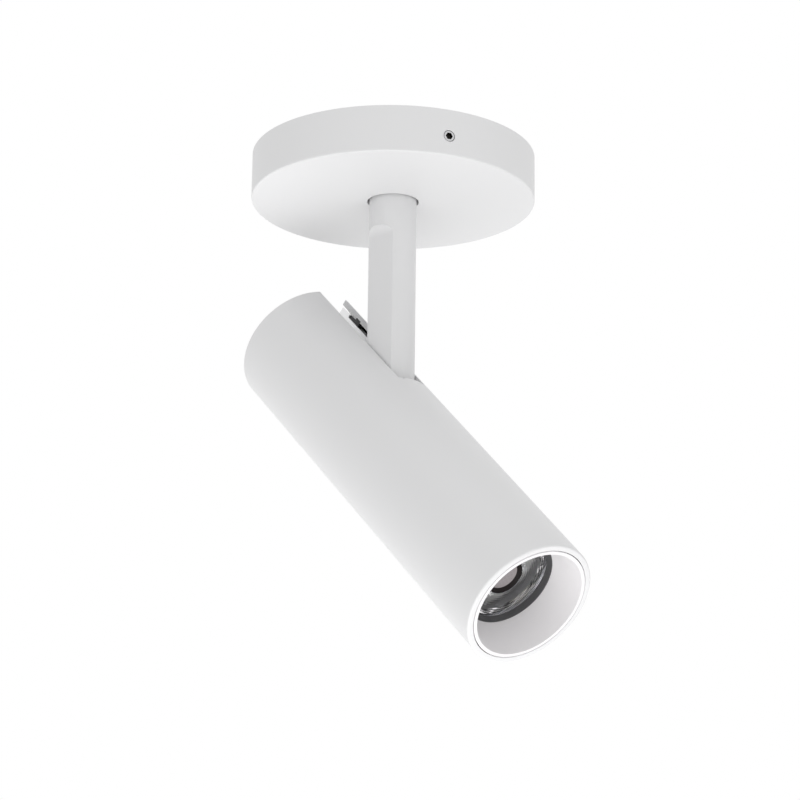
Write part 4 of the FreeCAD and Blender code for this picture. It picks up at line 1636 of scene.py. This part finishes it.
@dataclass
class Studio:
    """Camera at the photograph's place, soft lamps, pale floor and white surroundings.

    Its places and reaches are metres, and the camera's lens and film are millimetres.
    """

    camera_place: Triple = (0.82653, -0.81824, -0.45115)
    camera_right: Triple = (0.70844906, 0.70565941, 0.0120302)
    camera_up: Triple = (0.1918274, -0.20893376, 0.95893114)
    camera_back: Triple = (0.67919229, -0.67704615, -0.28338374)
    lens: float = 131.33
    film_width: float = 36.0
    sight: Pair = (0.05, 50.0)
    floor_depth: float = 1.3
    floor_reach: float = 6.0
    floor_tone: float = 0.86
    floor_roughness: float = 0.9
    floor_white: float = 0.8
    world_level: float = 0.72
    target: Triple = (0.03, 0.0, -0.11)
    lamps: tuple[Lamp, ...] = (
        Lamp("lamp_below", (0.3, -0.2, -1.1), 1.2, 8.5),
        Lamp("lamp_behind", (-1.0, 0.3, -0.9), 1.0, 2.2),
        Lamp("lamp_right", (1.3, 0.3, 0.1), 0.8, 0.8),
        Lamp("lamp_top", (0.2, -0.5, 1.2), 1.2, 3.0),
    )

    def build_camera(self) -> None:
        """Stand the camera where the photograph was taken."""
        data = bpy.data.cameras.new("camera")
        data.sensor_width = self.film_width
        data.lens = self.lens
        data.clip_start, data.clip_end = self.sight
        camera = bpy.data.objects.new("camera", data)
        turn = Matrix((self.camera_right, self.camera_up, self.camera_back)).transposed().to_4x4()
        camera.matrix_world = Matrix.Translation(self.camera_place) @ turn
        bpy.context.scene.collection.objects.link(camera)
        bpy.context.scene.camera = camera

    def whiten(self, tree: Tree, plain: Socket, kind: str, share: float) -> Socket:
        """Show a shader as white to camera, glossy and transmission rays.

        Args:
            tree: the shader's node tree.
            plain: the shader that all other rays meet.
            kind: the kind of node that gives the white.
            share: how much of the white is mixed in.

        Returns:
            The mixed shader.
        """
        white = tree.nodes.new(kind)
        white.inputs["Color"].default_value = (1.0, 1.0, 1.0, 1.0)
        white.inputs["Strength"].default_value = 1.0
        path = tree.nodes.new("ShaderNodeLightPath")
        total = path.outputs["Is Camera Ray"]
        steps = (("MAXIMUM", path.outputs["Is Glossy Ray"]), ("MAXIMUM", path.outputs["Is Transmission Ray"]),
                 ("MULTIPLY", share))
        for operation, term in steps:
            node = tree.nodes.new("ShaderNodeMath")
            node.operation = operation
            feed(tree, node.inputs[0], total)
            feed(tree, node.inputs[1], term)
            total = node.outputs[0]
        mix = tree.nodes.new("ShaderNodeMixShader")
        for socket, term in zip(mix.inputs, (total, plain, white.outputs[0])):
            feed(tree, socket, term)
        return mix.outputs[0]

    def build_world(self) -> None:
        """Light from all round at a plain level, seen as white."""
        world = bpy.data.worlds.new("surroundings")
        world.use_nodes = True
        tree = world.node_tree
        tree.nodes.clear()
        light = tree.nodes.new("ShaderNodeBackground")
        light.inputs["Color"].default_value = (1.0, 1.0, 1.0, 1.0)
        light.inputs["Strength"].default_value = self.world_level
        sink = tree.nodes.new("ShaderNodeOutputWorld")
        seen = self.whiten(tree, light.outputs[0], "ShaderNodeBackground", 1.0)
        tree.links.new(seen, sink.inputs["Surface"])
        bpy.context.scene.world = world

    def build_floor(self) -> None:
        """Lay a pale floor well below the light."""
        work = bmesh.new()
        bmesh.ops.create_grid(work, x_segments=1, y_segments=1, size=self.floor_reach / MM)
        floor = finish_mesh("floor", work, Matrix.Translation((0.0, 0.0, -self.floor_depth / MM)))
        recipe = Recipe("pale_floor")
        recipe.put("Base Color", (self.floor_tone, self.floor_tone, self.floor_tone, 1.0))
        recipe.put("Roughness", self.floor_roughness)
        seen = self.whiten(recipe.tree, recipe.shader.outputs[0], "ShaderNodeEmission", self.floor_white)
        recipe.tree.links.new(seen, recipe.tree.nodes["Material Output"].inputs["Surface"])
        floor.data.materials.append(recipe.material)

    def build_lamp(self, lamp: Lamp) -> None:
        """Hang a square soft lamp that points at the light.

        Args:
            lamp: its name, place, size and power.
        """
        data = bpy.data.lights.new(lamp.name, "AREA")
        data.shape = "SQUARE"
        data.size = lamp.size
        data.energy = lamp.power
        holder = bpy.data.objects.new(lamp.name, data)
        holder.location = lamp.place
        holder.rotation_mode = "QUATERNION"
        aim = Vector(self.target) - Vector(lamp.place)
        holder.rotation_quaternion = aim.to_track_quat("-Z", "Y")
        holder.visible_camera = False
        bpy.context.scene.collection.objects.link(holder)

    def build(self) -> None:
        """Set the view, and make the camera, floor, surroundings and lamps."""
        bpy.context.scene.view_settings.view_transform = "Standard"
        self.build_camera()
        self.build_world()
        self.build_floor()
        for lamp in self.lamps:
            self.build_lamp(lamp)
        LOG.info("camera, floor and lamps stand")


def main() -> None:
    """Build the light round its frame and stand it in the studio."""
    logging.basicConfig(level=logging.INFO, format="%(name)s: %(message)s")
    palette = Palette()
    Canopy().dress(palette)
    Stem().dress(palette)
    tube = Tube()
    Head(tube, Optics(tube)).dress(palette)
    Studio().build()


if __name__ == "__main__":
    main()
